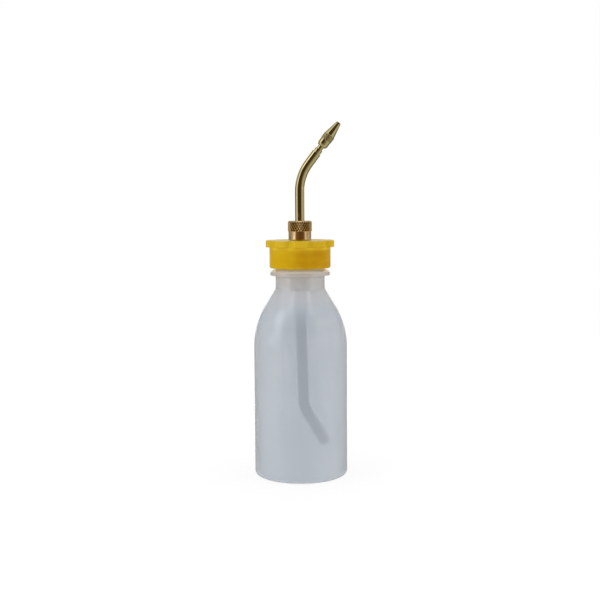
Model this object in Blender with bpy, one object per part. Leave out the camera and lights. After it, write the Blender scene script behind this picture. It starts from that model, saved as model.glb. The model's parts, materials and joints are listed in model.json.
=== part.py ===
"""Squeeze oil can: a blown plastic bottle, a lobed screw cap with a loose sealing disc, a turned brass
fitting with a knurled gland nut, a bent spout that ends in an adjustable nozzle, and a bent dip tube.

The bottle's axis is +Z and its underside lies at z = 0. The spout and the dip tube both bend to +X.
"""

import math

import bmesh
import bpy
from mathutils import Matrix, Vector

MM = 0.001

# Fits between the pieces
SEAT = 0.2 * MM
SLIP = 0.15 * MM
RUNNING = 0.3 * MM

# Bottle body
BODY_R = 24.0 * MM
BODY_TOP = 66.85 * MM
WALL = 1.0 * MM
CORNER_R = 1.9 * MM
FLOOR = 1.2 * MM
FOOT_WIDTH = 2.4 * MM
PUSH_UP = 1.0 * MM
PUSH_UP_SLOPE = 2.0 * MM
SHOULDER_R = 40.4 * MM
SHOULDER_ANGLE = 31.2
SHOULDER_FILLET = 3.0 * MM

# Bottle neck
NECK_R = 12.7 * MM
NECK_WALL = 1.5 * MM
NECK_LENGTH = 6.8 * MM
RING_OVERHANG = 2.75 * MM
RING_EDGE = 1.1 * MM
RING_SLOPE = 2.1 * MM
FINISH_LENGTH = 11.0 * MM
EDGE_BREAK = 0.3 * MM

# Neck thread, on the bottle and in the cap
PITCH = 3.0 * MM
THREAD_DEPTH = 1.15 * MM
RIDGE_ROOT = 1.5 * MM
RIDGE_CREST = 0.7 * MM
RIDGE_SINK = 0.5 * MM
RIDGE_END = 0.1 * MM
BOTTLE_TURNS = 2.25
CAP_TURNS = 1.5
THREAD_DROP = 2.1 * MM
THREAD_START = 90.0

# Screw cap
SKIRT_WALL = 1.55 * MM
TOP_PLATE = 2.0 * MM
CAP_RING_GAP = 0.5 * MM
SKIRT_ROUND = 1.0 * MM
FLANGE_HEIGHT = 3.4 * MM
FLANGE_BREAK = 0.4 * MM
LOBES = 10
LOBE_DEPTH = 2.1 * MM
LOBE_ROOT = 0.3 * MM
LOBE_GAP_ANGLE = 2.0
LOBE_FLANK_ANGLE = 8.0

# Sealing disc and the bead that keeps it in the cap
DISC = 1.3 * MM
DISC_PLAY = 0.45 * MM
BEAD_HOLD = 0.35 * MM
BEAD_HEIGHT = 0.5 * MM

# Nipple
SHANK_R = 4.0 * MM
SHANK_RISE = 5.4 * MM
OIL_BORE_R = 1.6 * MM
CLAMP_FLANGE_R = 7.0 * MM
CLAMP_FLANGE = 2.0 * MM
BARREL_WALL = 1.75 * MM
BARREL_LENGTH = 22.0 * MM
SOCKET_DEPTH = 10.0 * MM

# Dip tube
DIP_R = 2.75 * MM
DIP_WALL = 0.9 * MM
DIP_SLACK = 1.0 * MM
DIP_LEAN_R = 150.0 * MM
DIP_LEAN = 1.5
DIP_BEND_R = 10.0 * MM
DIP_ANGLE = 31.0
DIP_END_LENGTH = 19.7 * MM
DIP_FLOOR_GAP = 12.3 * MM

# Spout tube
TUBE_R = 2.4 * MM
TUBE_WALL = 0.7 * MM
COLLAR_OVERHANG = 1.2 * MM
COLLAR = 1.0 * MM
STRAIGHT_LENGTH = 19.4 * MM
BEND_R = 23.1 * MM
BEND_ANGLE = 37.0
END_LENGTH = 6.9 * MM

# Gland seal and knurled nut
SEAL_CORD_R = 0.7 * MM
NUT_WALL = 1.75 * MM
NUT_PLAIN = 4.5 * MM
NUT_LIP = 1.6 * MM
NUT_CHAMFER = 0.6 * MM
NUT_KNURLS = 28
NUT_KNURL_PROUD = 0.27 * MM
NUT_KNURL_DEPTH = 0.36 * MM
NUT_KNURL_ROW = 1.18 * MM

# Nozzle stem
STEM_PLUG = 4.0 * MM
STEM_SHOULDER_R = 2.0 * MM
STEM_SHOULDER = 2.05 * MM
STEM_NECK_R = 1.58 * MM
STEM_NECK = 1.7 * MM
STEM_THREAD = 5.0 * MM
STEM_BORE_R = 0.8 * MM
STEM_BREAK = 0.25 * MM

# Nozzle tip
TIP_R = 2.8 * MM
TIP_BASE_ROUND = 1.1 * MM
TIP_PLAIN = 2.8 * MM
TIP_KNURL_ROW = 0.76 * MM
TIP_KNURL_ROWS = 4
TIP_KNURLS = 20
TIP_KNURL_PROUD = 0.14 * MM
TIP_KNURL_DEPTH = 0.2 * MM
TIP_CONE = 7.3 * MM
TIP_END_R = 1.25 * MM
TIP_END_ROUND = 0.5 * MM
TIP_STEP = 0.15 * MM
ORIFICE_R = 0.5 * MM
SOCKET_RUN_OUT = 1.5 * MM

# Smoothness of the round forms
BOTTLE_COLUMNS = 60
LOBE_COLUMNS = 7
SMALL_COLUMNS = 28
TUBE_COLUMNS = 24
RIDGE_COLUMNS = 28
SHOULDER_STEPS = 6
ROUND_STEPS = 3
SEAL_STEPS = 8
BEND_STEPS = 8
DIP_STEPS = 4
SHARP_ANGLE = 32.0
AXIS_MARK = 5.0 * MM

# Corners closer than this are one corner, and heights closer than this are one level
WELD = 0.0001 * MM
SAME_LEVEL = 0.001 * MM

# Levels and radii that follow from the sizes above
SHOULDER_RISE = SHOULDER_R * math.sin(math.radians(SHOULDER_ANGLE))
CONE_TOP_R = BODY_R - SHOULDER_R * (1 - math.cos(math.radians(SHOULDER_ANGLE)))
CONE_RISE = (CONE_TOP_R - NECK_R) / math.tan(math.radians(SHOULDER_ANGLE))
NECK_Z = BODY_TOP + SHOULDER_RISE + CONE_RISE
RING_Z = NECK_Z + NECK_LENGTH
RING_TOP_Z = RING_Z + RING_EDGE + RING_SLOPE
RIM_Z = RING_TOP_Z + FINISH_LENGTH
DISC_Z = RIM_Z + SEAT
PLATE_Z = DISC_Z + DISC + SEAT
CAP_TOP_Z = PLATE_Z + TOP_PLATE
SKIRT_Z = RING_TOP_Z + CAP_RING_GAP
NUT_Z = CAP_TOP_Z + SEAT
SHANK_TOP_Z = CAP_TOP_Z + SHANK_RISE
COLLAR_Z = SHANK_TOP_Z + SEAT
SEAL_Z = COLLAR_Z + COLLAR + SLIP + SEAL_CORD_R
LIP_Z = SEAL_Z + SEAL_CORD_R + SLIP
FLANGE_BASE_Z = PLATE_Z - SEAT - CLAMP_FLANGE
BARREL_END_Z = FLANGE_BASE_Z - BARREL_LENGTH
SOCKET_END_Z = BARREL_END_Z + SOCKET_DEPTH
INNER_FLOOR_Z = PUSH_UP + FLOOR
THREAD_Z = RIM_Z - THREAD_DROP - BOTTLE_TURNS * PITCH

THREAD_R = NECK_R + THREAD_DEPTH
CAP_BORE_R = THREAD_R + RUNNING
SKIRT_R = CAP_BORE_R + SKIRT_WALL
DISC_R = CAP_BORE_R - DISC_PLAY
NUT_BORE_R = SHANK_R + SLIP
NUT_R = NUT_BORE_R + NUT_WALL
BARREL_R = DIP_R + SLIP + BARREL_WALL

# Along the nozzle's own axis, from the tube's end
TIP_Z = SEAT + STEM_SHOULDER + STEM_NECK


def clear_scene():
    for item in list(bpy.data.objects):
        bpy.data.objects.remove(item, do_unlink=True)


def material(name, colour, roughness, metallic=0.0):
    made = bpy.data.materials.new(name)
    made.use_nodes = True
    shader = made.node_tree.nodes["Principled BSDF"]
    shader.inputs["Base Color"].default_value = (*colour, 1.0)
    shader.inputs["Roughness"].default_value = roughness
    shader.inputs["Metallic"].default_value = metallic
    made.diffuse_color = (*colour, 1.0)
    return made


def milky_polyethylene():
    return material("milky_polyethylene", (0.56, 0.61, 0.66), 0.35)


def yellow_plastic():
    return material("yellow_plastic", (0.72, 0.44, 0.01), 0.42)


def polished_brass():
    return material("polished_brass", (0.70, 0.56, 0.26), 0.16, 1.0)


def turned_brass():
    return material("turned_brass", (0.56, 0.36, 0.16), 0.26, 1.0)


def black_rubber():
    return material("black_rubber", (0.02, 0.02, 0.02), 0.7)


def clear_tubing():
    return material("clear_tubing", (0.42, 0.46, 0.50), 0.4)


def white_foam():
    return material("white_foam", (0.78, 0.78, 0.75), 0.8)


def arc(centre_r, centre_z, radius, start, end, steps):
    """Points (r, z) along an arc, its angles in degrees from the r axis towards z, both ends included."""
    points = []
    for step in range(steps + 1):
        angle = math.radians(start + (end - start) * step / steps)
        points.append((centre_r + radius * math.cos(angle), centre_z + radius * math.sin(angle)))
    return points


def turned(outline, columns):
    """A closed body turned about Z. The outline closes on itself, or starts and ends on the axis."""
    bm = bmesh.new()
    verts = [bm.verts.new((r, 0.0, z)) for r, z in outline]
    edges = [bm.edges.new(pair) for pair in zip(verts, verts[1:])]
    if outline[0][0] > 0:
        edges.append(bm.edges.new((verts[-1], verts[0])))
    bmesh.ops.spin(bm, geom=verts + edges, axis=(0, 0, 1), angle=math.tau, steps=columns, use_merge=True)
    bmesh.ops.remove_doubles(bm, verts=bm.verts, dist=WELD)
    bmesh.ops.recalc_face_normals(bm, faces=bm.faces)
    return bm


def faces_at(bm, height):
    """The faces of a body that lie flat at one height."""
    return [face for face in bm.faces if all(abs(vert.co.z - height) < SAME_LEVEL for vert in face.verts)]


def parts_of(faces):
    """The faces with their corners and edges, each once and always in the same order."""
    verts = dict.fromkeys(vert for face in faces for vert in face.verts)
    edges = dict.fromkeys(edge for face in faces for edge in face.edges)
    return [*verts, *edges, *faces]


def faces_of(geometry):
    return [item for item in geometry if isinstance(item, bmesh.types.BMFace)]


def bent(bm, faces, centre, angle, steps):
    """Sweeps the end faces of a body round an axis along Y, and returns the faces at the new end."""
    swept = bmesh.ops.spin(
        bm, geom=parts_of(faces), cent=centre, axis=(0, 1, 0), angle=math.radians(angle), steps=steps
    )
    return faces_of(swept["geom_last"])


def extended(bm, faces, offset):
    """Draws the end faces of a body out along a straight run."""
    drawn = bmesh.ops.extrude_face_region(bm, geom=parts_of(faces))["geom"]
    moved = [item for item in drawn if isinstance(item, bmesh.types.BMVert)]
    bmesh.ops.translate(bm, verts=moved, vec=offset)
    return faces_of(drawn)


def shaded(mesh):
    mesh.shade_smooth()
    mesh.set_sharp_from_angle(angle=math.radians(SHARP_ANGLE))


def solid(name, bm, finish, parent=None, height=0.0):
    """Makes the object of a body whose own zero height is its seat."""
    mesh = bpy.data.meshes.new(name)
    bm.to_mesh(mesh)
    bm.free()
    mesh.materials.append(finish)
    shaded(mesh)
    made = bpy.data.objects.new(name, mesh)
    made.location.z = height
    made.parent = parent
    bpy.context.scene.collection.objects.link(made)
    return made


def axis_empty(name, location, parent=None, tilt=0.0):
    """An empty on a joint's axis. Tilt leans its own Z axis from the vertical towards +X."""
    made = bpy.data.objects.new(name, None)
    made.empty_display_size = AXIS_MARK
    made.location = location
    made.rotation_euler = (0.0, math.radians(tilt), 0.0)
    made.parent = parent
    bpy.context.scene.collection.objects.link(made)
    return made


def thread_ridge(root_r, crest_r, turns):
    """A helical ridge of trapezoid section that rises from z = 0 and runs out at both of its ends."""
    bm = bmesh.new()
    section = [
        (root_r, -RIDGE_ROOT / 2),
        (crest_r, -RIDGE_CREST / 2),
        (crest_r, RIDGE_CREST / 2),
        (root_r, RIDGE_ROOT / 2),
    ]
    first = bm.faces.new([bm.verts.new((r, 0.0, z)) for r, z in section])
    steps = round(RIDGE_COLUMNS * turns)
    rise = (0.0, 0.0, PITCH * turns / steps)
    swept = bmesh.ops.spin(
        bm, geom=parts_of([first]), axis=(0, 0, 1), dvec=rise, angle=math.tau * turns, steps=steps
    )
    ends = set(first.verts) | {vert for face in faces_of(swept["geom_last"]) for vert in face.verts}
    for vert in ends:
        radius = vert.co.xy.length
        if abs(radius - crest_r) < abs(radius - root_r):
            vert.co.xy *= (root_r + math.copysign(RIDGE_END, crest_r - root_r)) / radius
    bmesh.ops.rotate(bm, verts=bm.verts, matrix=Matrix.Rotation(math.radians(THREAD_START), 3, "Z"))
    bmesh.ops.recalc_face_normals(bm, faces=bm.faces)
    return bm


def unite(body, ridge):
    """Joins a thread ridge to the wall that it is sunk into."""
    join = body.modifiers.new("thread", "BOOLEAN")
    join.operation = "UNION"
    join.object = ridge
    evaluated = body.evaluated_get(bpy.context.evaluated_depsgraph_get())
    joined = bpy.data.meshes.new_from_object(evaluated)
    body.modifiers.clear()
    body.data = joined
    bpy.data.objects.remove(ridge, do_unlink=True)
    shaded(joined)


def knurl(bm, radius, low, rows, row_height, knurls, depth):
    """Cuts crossed diagonal grooves into a band of a turned body, which leaves rows of small pyramids."""
    columns = 2 * knurls
    valleys = set()
    band = set()
    for vert in bm.verts:
        row = round((vert.co.z - low) / row_height)
        on_row = 0 <= row <= rows and abs(vert.co.z - low - row * row_height) < SAME_LEVEL
        if not on_row or abs(vert.co.xy.length - radius) > SAME_LEVEL:
            continue
        band.add(vert)
        column = round(math.atan2(vert.co.y, vert.co.x) / math.tau * columns)
        if (row + column) % 2 == 0:
            valleys.add(vert)
    for face in [face for face in bm.faces if all(vert in band for vert in face.verts)]:
        low_corners = [vert for vert in face.verts if vert in valleys]
        if len(low_corners) == 2:
            bmesh.utils.face_split(face, *low_corners)
    for vert in valleys:
        vert.co.xy *= (radius - depth) / radius


def bottle_outline():
    inner_r = BODY_R - WALL
    bore_r = NECK_R - NECK_WALL
    angle = math.radians(SHOULDER_ANGLE)
    centre_r = BODY_R - SHOULDER_R
    foot_r = BODY_R - CORNER_R
    base_r = foot_r - FOOT_WIDTH
    inner_corner = CORNER_R - WALL
    # The fillet between shoulder cone and neck touches both at this distance from their corner.
    touch = min(SHOULDER_FILLET * math.tan(angle / 2), CONE_RISE / math.cos(angle))
    fillet = touch / math.tan(angle / 2)
    inner_cone_r = centre_r + (SHOULDER_R - WALL) * math.cos(angle)
    inner_cone_z = BODY_TOP + (SHOULDER_R - WALL) * math.sin(angle)
    bore_z = inner_cone_z + (inner_cone_r - bore_r) / math.tan(angle)
    outside = [
        (0.0, PUSH_UP),
        (base_r - PUSH_UP_SLOPE, PUSH_UP),
        (base_r, 0.0),
        *arc(foot_r, CORNER_R, CORNER_R, -90, 0, ROUND_STEPS + 1),
        *arc(centre_r, BODY_TOP, SHOULDER_R, 0, SHOULDER_ANGLE, SHOULDER_STEPS),
        *arc(NECK_R + fillet, NECK_Z + touch, fillet, 180 + SHOULDER_ANGLE, 180, ROUND_STEPS),
    ]
    finish = [
        (NECK_R, RING_Z),
        (NECK_R + RING_OVERHANG, RING_Z),
        (NECK_R + RING_OVERHANG, RING_Z + RING_EDGE),
        (NECK_R + EDGE_BREAK, RING_TOP_Z),
        (NECK_R, RING_TOP_Z + EDGE_BREAK),
        (NECK_R, RIM_Z - EDGE_BREAK),
        (NECK_R - EDGE_BREAK, RIM_Z),
        (bore_r + EDGE_BREAK, RIM_Z),
        (bore_r, RIM_Z - EDGE_BREAK),
    ]
    inside = [
        (bore_r, bore_z),
        *arc(centre_r, BODY_TOP, SHOULDER_R - WALL, SHOULDER_ANGLE, 0, SHOULDER_STEPS),
        *arc(inner_r - inner_corner, FLOOR + inner_corner, inner_corner, 0, -90, ROUND_STEPS - 1),
        (base_r, FLOOR),
        (base_r - PUSH_UP_SLOPE, INNER_FLOOR_Z),
        (0.0, INNER_FLOOR_Z),
    ]
    return outside + finish + inside


def make_bottle(finish):
    """One blown piece, with a moulded neck, the ring that the cap stops at and a raised base."""
    bottle = solid("bottle", turned(bottle_outline(), BOTTLE_COLUMNS), finish)
    ridge = thread_ridge(NECK_R - RIDGE_SINK, THREAD_R, BOTTLE_TURNS)
    unite(bottle, solid("neck_thread", ridge, finish, height=THREAD_Z))
    return bottle


def lobe_share(angle):
    """How far out the flange reaches at an angle in degrees: 0 in the gaps, 1 on the lobes."""
    spacing = 360 / LOBES
    # One lobe faces -Y.
    from_gap = abs((angle + 90) % spacing - spacing / 2)
    share = min(max((from_gap - LOBE_GAP_ANGLE) / LOBE_FLANK_ANGLE, 0.0), 1.0)
    return share * share * (3 - 2 * share)


def make_cap(finish, parent):
    """The skirt with its thread and bead, and the flange on top, whose rim is drawn in between the lobes."""
    top = CAP_TOP_Z - SKIRT_Z
    plate = PLATE_Z - SKIRT_Z
    flange = top - FLANGE_HEIGHT
    bead_top = DISC_Z - SEAT - SKIRT_Z
    bead_r = DISC_R - BEAD_HOLD
    flange_r = SKIRT_R + LOBE_DEPTH
    hole_r = SHANK_R + RUNNING
    outline = [
        (hole_r, plate),
        (hole_r, top),
        (flange_r - FLANGE_BREAK, top),
        (flange_r, top - FLANGE_BREAK),
        (flange_r, flange + FLANGE_BREAK),
        (flange_r - FLANGE_BREAK, flange),
        (SKIRT_R, flange),
        *arc(SKIRT_R - SKIRT_ROUND, SKIRT_ROUND, SKIRT_ROUND, 0, -90, ROUND_STEPS),
        (CAP_BORE_R, 0.0),
        (CAP_BORE_R, bead_top - 2 * BEAD_HEIGHT),
        (bead_r, bead_top - BEAD_HEIGHT),
        (bead_r, bead_top),
        (CAP_BORE_R, bead_top),
        (CAP_BORE_R, plate),
    ]
    bm = turned(outline, LOBE_COLUMNS * LOBES)
    root_r = SKIRT_R + LOBE_ROOT
    for vert in bm.verts:
        radius = vert.co.xy.length
        if radius > root_r:
            angle = math.degrees(math.atan2(vert.co.y, vert.co.x))
            vert.co.xy *= (root_r + (radius - root_r) * lobe_share(angle)) / radius
    cap = solid("screw_cap", bm, finish, parent, SKIRT_Z - RIM_Z)
    ridge = thread_ridge(CAP_BORE_R + RIDGE_SINK, NECK_R + RUNNING, CAP_TURNS)
    # Half a pitch up, the cap's ridge runs midway between two turns of the bottle's.
    low = THREAD_Z + PITCH / 2 - RIM_Z
    unite(cap, solid("cap_thread", ridge, finish, parent, low))
    return cap


def make_sealing_disc(finish, parent):
    """A ring that lies loose in the cap, on its bead and round the nipple's flange."""
    hole_r = CLAMP_FLANGE_R + DISC_PLAY
    outline = [(hole_r, 0.0), (hole_r, DISC), (DISC_R, DISC), (DISC_R, 0.0)]
    return solid("sealing_disc", turned(outline, BOTTLE_COLUMNS), finish, parent, DISC_Z - RIM_Z)


def make_nipple(finish, parent):
    """The fitting that the nut draws up into the cap. Its barrel hangs in the neck and grips the dip tube."""
    socket_r = DIP_R + SLIP
    top = SHANK_TOP_Z - BARREL_END_Z
    flange = FLANGE_BASE_Z - BARREL_END_Z
    outline = [
        (OIL_BORE_R, top),
        (SHANK_R - EDGE_BREAK, top),
        (SHANK_R, top - EDGE_BREAK),
        (SHANK_R, flange + CLAMP_FLANGE),
        (CLAMP_FLANGE_R, flange + CLAMP_FLANGE),
        (CLAMP_FLANGE_R, flange),
        (BARREL_R, flange),
        (BARREL_R, EDGE_BREAK),
        (BARREL_R - EDGE_BREAK, 0.0),
        (socket_r, 0.0),
        (socket_r, SOCKET_DEPTH),
        (OIL_BORE_R, SOCKET_DEPTH + socket_r - OIL_BORE_R),
    ]
    return solid("nipple", turned(outline, SMALL_COLUMNS), finish, parent, BARREL_END_Z - RIM_Z)


def tilted(angle):
    """Unit vectors along and across a tube that runs down and leans towards +X by an angle in degrees."""
    lean = math.radians(angle)
    return Vector((math.sin(lean), 0.0, -math.cos(lean))), Vector((math.cos(lean), 0.0, math.sin(lean)))


def make_dip_tube(finish, parent):
    """Hangs from the nipple's socket, leans a little, and bends so that its end stays near the wall."""
    bore_r = DIP_R - DIP_WALL
    leaning, across = tilted(DIP_LEAN)
    along, end_across = tilted(DIP_ANGLE)
    top_z = SOCKET_END_Z - SEAT
    drop = top_z - BARREL_END_Z + DIP_SLACK
    # The straight run takes up what the bends and the end leave of the height above the floor.
    end_z = INNER_FLOOR_Z + DIP_FLOOR_GAP + DIP_R * end_across.z
    bends = DIP_LEAN_R * across.z + DIP_BEND_R * (end_across.z - across.z)
    run = (top_z - drop - end_z - bends + DIP_END_LENGTH * along.z) / -leaning.z
    bm = turned([(bore_r, 0.0), (DIP_R, 0.0), (DIP_R, -drop), (bore_r, -drop)], TUBE_COLUMNS)
    low = Vector((0.0, 0.0, -drop))
    pivot = low + Vector((DIP_LEAN_R, 0.0, 0.0))
    leant = bent(bm, faces_at(bm, -drop), pivot, -DIP_LEAN, 1)
    straight = extended(bm, leant, leaning * run)
    elbow = pivot - across * DIP_LEAN_R + leaning * run
    foot = bent(bm, straight, elbow + across * DIP_BEND_R, DIP_LEAN - DIP_ANGLE, DIP_STEPS)
    extended(bm, foot, along * DIP_END_LENGTH)
    return solid("dip_tube", bm, finish, parent, top_z - RIM_Z)


def make_gland_seal(finish, parent):
    """A rubber ring that the nut presses onto the spout's collar."""
    centre_r = TUBE_R + SLIP + SEAL_CORD_R
    outline = arc(centre_r, 0.0, SEAL_CORD_R, 0, 360, SEAL_STEPS)[:-1]
    return solid("gland_seal", turned(outline, SMALL_COLUMNS), finish, parent, SEAL_Z - NUT_Z)


def make_knurled_nut(finish, parent):
    """The gland nut: plain below for a spanner's grip, knurled above, with a lip over the seal."""
    lip = LIP_Z - NUT_Z
    height = lip + NUT_LIP
    knurl_r = NUT_R + NUT_KNURL_PROUD
    knurl_top = height - NUT_CHAMFER
    rows = round((knurl_top - NUT_PLAIN) / NUT_KNURL_ROW)
    row_height = (knurl_top - NUT_PLAIN) / rows
    outline = [
        (NUT_BORE_R + EDGE_BREAK, 0.0),
        (NUT_BORE_R, EDGE_BREAK),
        (NUT_BORE_R, lip),
        (TUBE_R + RUNNING, lip),
        (TUBE_R + RUNNING, height),
        (knurl_r - NUT_CHAMFER, height),
        *((knurl_r, knurl_top - row * row_height) for row in range(rows + 1)),
        (NUT_R, NUT_PLAIN - NUT_KNURL_PROUD),
        (NUT_R, EDGE_BREAK),
        (NUT_R - EDGE_BREAK, 0.0),
    ]
    bm = turned(outline, 2 * NUT_KNURLS)
    knurl(bm, knurl_r, NUT_PLAIN, rows, row_height, NUT_KNURLS, NUT_KNURL_DEPTH)
    return solid("knurled_nut", bm, finish, parent)


def make_spout_tube(finish, parent):
    """A drawn tube with a collar at its foot. The sweep carries its ring-shaped end round the bend."""
    bore_r = TUBE_R - TUBE_WALL
    collar_r = TUBE_R + COLLAR_OVERHANG
    outline = [
        (bore_r, 0.0),
        (bore_r, STRAIGHT_LENGTH),
        (TUBE_R, STRAIGHT_LENGTH),
        (TUBE_R, COLLAR),
        (collar_r, COLLAR),
        (collar_r, 0.0),
    ]
    bm = turned(outline, TUBE_COLUMNS)
    centre = (BEND_R, 0.0, STRAIGHT_LENGTH)
    end = bent(bm, faces_at(bm, STRAIGHT_LENGTH), centre, BEND_ANGLE, BEND_STEPS)
    extended(bm, end, spout_direction() * END_LENGTH)
    return solid("spout_tube", bm, finish, parent, COLLAR_Z - NUT_Z)


def spout_direction():
    angle = math.radians(BEND_ANGLE)
    return Vector((math.sin(angle), 0.0, math.cos(angle)))


def spout_end():
    """The middle of the tube's far end, from the middle of its collar's underside."""
    angle = math.radians(BEND_ANGLE)
    bend = Vector((BEND_R * (1 - math.cos(angle)), 0.0, STRAIGHT_LENGTH + BEND_R * math.sin(angle)))
    return bend + spout_direction() * END_LENGTH


def make_nozzle_stem(finish, parent):
    """The insert in the tube's end: a plug, a shoulder, and the thin shank that the nozzle screws onto."""
    plug_r = TUBE_R - TUBE_WALL - SLIP
    shoulder = SEAT + STEM_SHOULDER
    end = TIP_Z + STEM_THREAD
    outline = [
        (STEM_BORE_R, -STEM_PLUG),
        (plug_r, -STEM_PLUG),
        (plug_r, SEAT),
        (STEM_SHOULDER_R, SEAT),
        (STEM_SHOULDER_R, shoulder - STEM_BREAK),
        (STEM_SHOULDER_R - STEM_BREAK, shoulder),
        (STEM_NECK_R, shoulder),
        (STEM_NECK_R, end - STEM_BREAK),
        (STEM_NECK_R - STEM_BREAK, end),
        (STEM_BORE_R, end),
    ]
    return solid("nozzle_stem", turned(outline, SMALL_COLUMNS), finish, parent)


def make_nozzle_tip(finish, parent):
    """The adjustable tip: a rounded foot, a knurled band to grip, and a cone down to the orifice."""
    socket_r = STEM_NECK_R + SLIP
    knurl_r = TIP_R + TIP_KNURL_PROUD
    knurl_low = TIP_BASE_ROUND + TIP_PLAIN
    knurl_top = knurl_low + TIP_KNURL_ROWS * TIP_KNURL_ROW
    cone_low = knurl_top + TIP_STEP
    cone_end = cone_low + TIP_CONE
    socket_end = STEM_THREAD + SOCKET_RUN_OUT
    outline = [
        (socket_r, 0.0),
        *arc(TIP_R - TIP_BASE_ROUND, TIP_BASE_ROUND, TIP_BASE_ROUND, -90, 0, ROUND_STEPS),
        (TIP_R, knurl_low - TIP_KNURL_PROUD),
        *((knurl_r, knurl_low + row * TIP_KNURL_ROW) for row in range(TIP_KNURL_ROWS + 1)),
        (TIP_R, cone_low),
        *arc(TIP_END_R - TIP_END_ROUND, cone_end, TIP_END_ROUND, 0, 90, ROUND_STEPS),
        (ORIFICE_R, cone_end + TIP_END_ROUND),
        (ORIFICE_R, socket_end + socket_r - ORIFICE_R),
        (socket_r, socket_end),
    ]
    bm = turned(outline, 2 * TIP_KNURLS)
    knurl(bm, knurl_r, knurl_low, TIP_KNURL_ROWS, TIP_KNURL_ROW, TIP_KNURLS, TIP_KNURL_DEPTH)
    return solid("nozzle_tip", bm, finish, parent, TIP_Z)


def main():
    clear_scene()
    milky = milky_polyethylene()
    yellow = yellow_plastic()
    polished = polished_brass()
    turned_metal = turned_brass()
    make_bottle(milky)

    head = axis_empty("head_axis", (0.0, 0.0, RIM_Z))
    make_sealing_disc(white_foam(), head)
    make_cap(yellow, head)
    make_nipple(turned_metal, head)
    make_dip_tube(clear_tubing(), head)

    gland = axis_empty("gland_axis", (0.0, 0.0, NUT_Z - RIM_Z), head)
    make_gland_seal(black_rubber(), gland)
    make_knurled_nut(turned_metal, gland)
    make_spout_tube(polished, gland)

    tube_end = spout_end() + Vector((0.0, 0.0, COLLAR_Z - NUT_Z))
    nozzle = axis_empty("nozzle_axis", tube_end, gland, BEND_ANGLE)
    make_nozzle_stem(polished, nozzle)
    make_nozzle_tip(polished, nozzle)


main()
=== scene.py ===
"""The looks of a squeeze oil can: a milky bottle, a yellow lobed cap, and a brass nut, spout and nozzle.

Each operator models one piece, or one group of like pieces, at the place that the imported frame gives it,
and replaces the plain solid there. The disc and the seal keep their solids and get a finish. The stage
operator adds the floor, the light and the camera.
"""

import json
import math

import bmesh
import bpy
from bpy.props import FloatProperty, FloatVectorProperty, IntProperty, PointerProperty
from mathutils import Matrix, Vector


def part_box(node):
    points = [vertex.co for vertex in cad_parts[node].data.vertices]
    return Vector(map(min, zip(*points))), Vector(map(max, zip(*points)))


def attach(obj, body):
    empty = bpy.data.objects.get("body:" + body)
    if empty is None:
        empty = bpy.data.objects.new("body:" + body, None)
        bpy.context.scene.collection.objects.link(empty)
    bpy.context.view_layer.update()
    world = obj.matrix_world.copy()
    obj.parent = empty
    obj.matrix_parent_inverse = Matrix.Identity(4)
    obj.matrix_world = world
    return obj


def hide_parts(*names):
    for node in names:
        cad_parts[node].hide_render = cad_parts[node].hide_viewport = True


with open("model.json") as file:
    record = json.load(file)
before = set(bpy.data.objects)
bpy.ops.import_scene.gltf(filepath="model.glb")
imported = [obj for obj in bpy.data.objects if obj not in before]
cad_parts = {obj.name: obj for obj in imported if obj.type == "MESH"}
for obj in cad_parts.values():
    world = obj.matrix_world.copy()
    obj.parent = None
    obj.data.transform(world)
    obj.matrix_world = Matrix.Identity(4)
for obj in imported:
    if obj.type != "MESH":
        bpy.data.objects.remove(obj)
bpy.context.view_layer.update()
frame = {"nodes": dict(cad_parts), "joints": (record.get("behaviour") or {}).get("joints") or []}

bl_info = {
    "name": "Squeeze oil can",
    "version": (1, 0, 0),
    "blender": (4, 5, 0),
    "location": "3D View > Sidebar > Oil Can",
    "description": "Models and finishes a plastic squeeze oil can with a bent brass spout",
    "category": "Add Mesh",
}

MM = 0.001
SHARP_ANGLE = math.radians(34)
ROUND_STEPS = 5
WELD = 0.0001 * MM
CHAMFER_STEPS = 3
DOME_STEPS = 8
OUTER_SHOULDER_STEPS = 28
INNER_SHOULDER_STEPS = 24
# Height that a thread's ridge keeps at its two ends, as a share of its full height
RUN_OUT = 0.1
# How far a knurl's groove reaches to each side, as a share of the spacing. The rest is each diamond's flat.
GROOVE_REACH = 0.4
# How dark the bottom of the knurls' grooves is painted, as painted shade with some oil and dirt, and how far
# up their depth it reaches, as shares
NUT_GROOVE_SHADE = 0.72
TIP_GROOVE_SHADE = 0.25
GROOVE_SHADE_REACH = 0.6
# The floor lies this far below the object, and its shadow starts to fade at this distance from the axis.
FLOOR_GAP = 0.02 * MM
SHADOW_RADIUS = 30 * MM
# The share of an even light in what the floor gives back to the object
EVEN_BOUNCE = 0.7
# In mm, as a camera's settings take it
SENSOR_WIDTH = 36.0
LAMP_DISTANCE = 0.7
LAMP_TARGET = Vector((0.0, 0.0, 90 * MM))
BLACK = (0.0, 0.0, 0.0, 1.0)
WHITE = (1.0, 1.0, 1.0, 1.0)

# Sockets of a Mix node that mixes colours
MIX_FACTOR = 0
MIX_A = 6
MIX_B = 7
MIX_RESULT = 2


def joint(name):
    """The frame's entry for a joint."""
    return next(item for item in frame["joints"] if item["name"] == name)


def reach(node):
    """The largest radius of a node about the bottle's axis."""
    low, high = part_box(node)
    return max(-low.x, high.x, -low.y, high.y)


def length(name, description, default):
    return FloatProperty(
        name=name, description=description, default=default, min=0.0, unit="LENGTH", precision=5
    )


def turn(name, description, degrees):
    return FloatProperty(name=name, description=description, default=math.radians(degrees), unit="ROTATION")


def count(name, description, default):
    return IntProperty(name=name, description=description, default=default, min=3)


def share(name, description, default):
    return FloatProperty(
        name=name, description=description, default=default, min=0.0, max=1.0, subtype="FACTOR"
    )


def power(name, description, default):
    return FloatProperty(name=name, description=description, default=default, min=0.0, unit="POWER")


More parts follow.
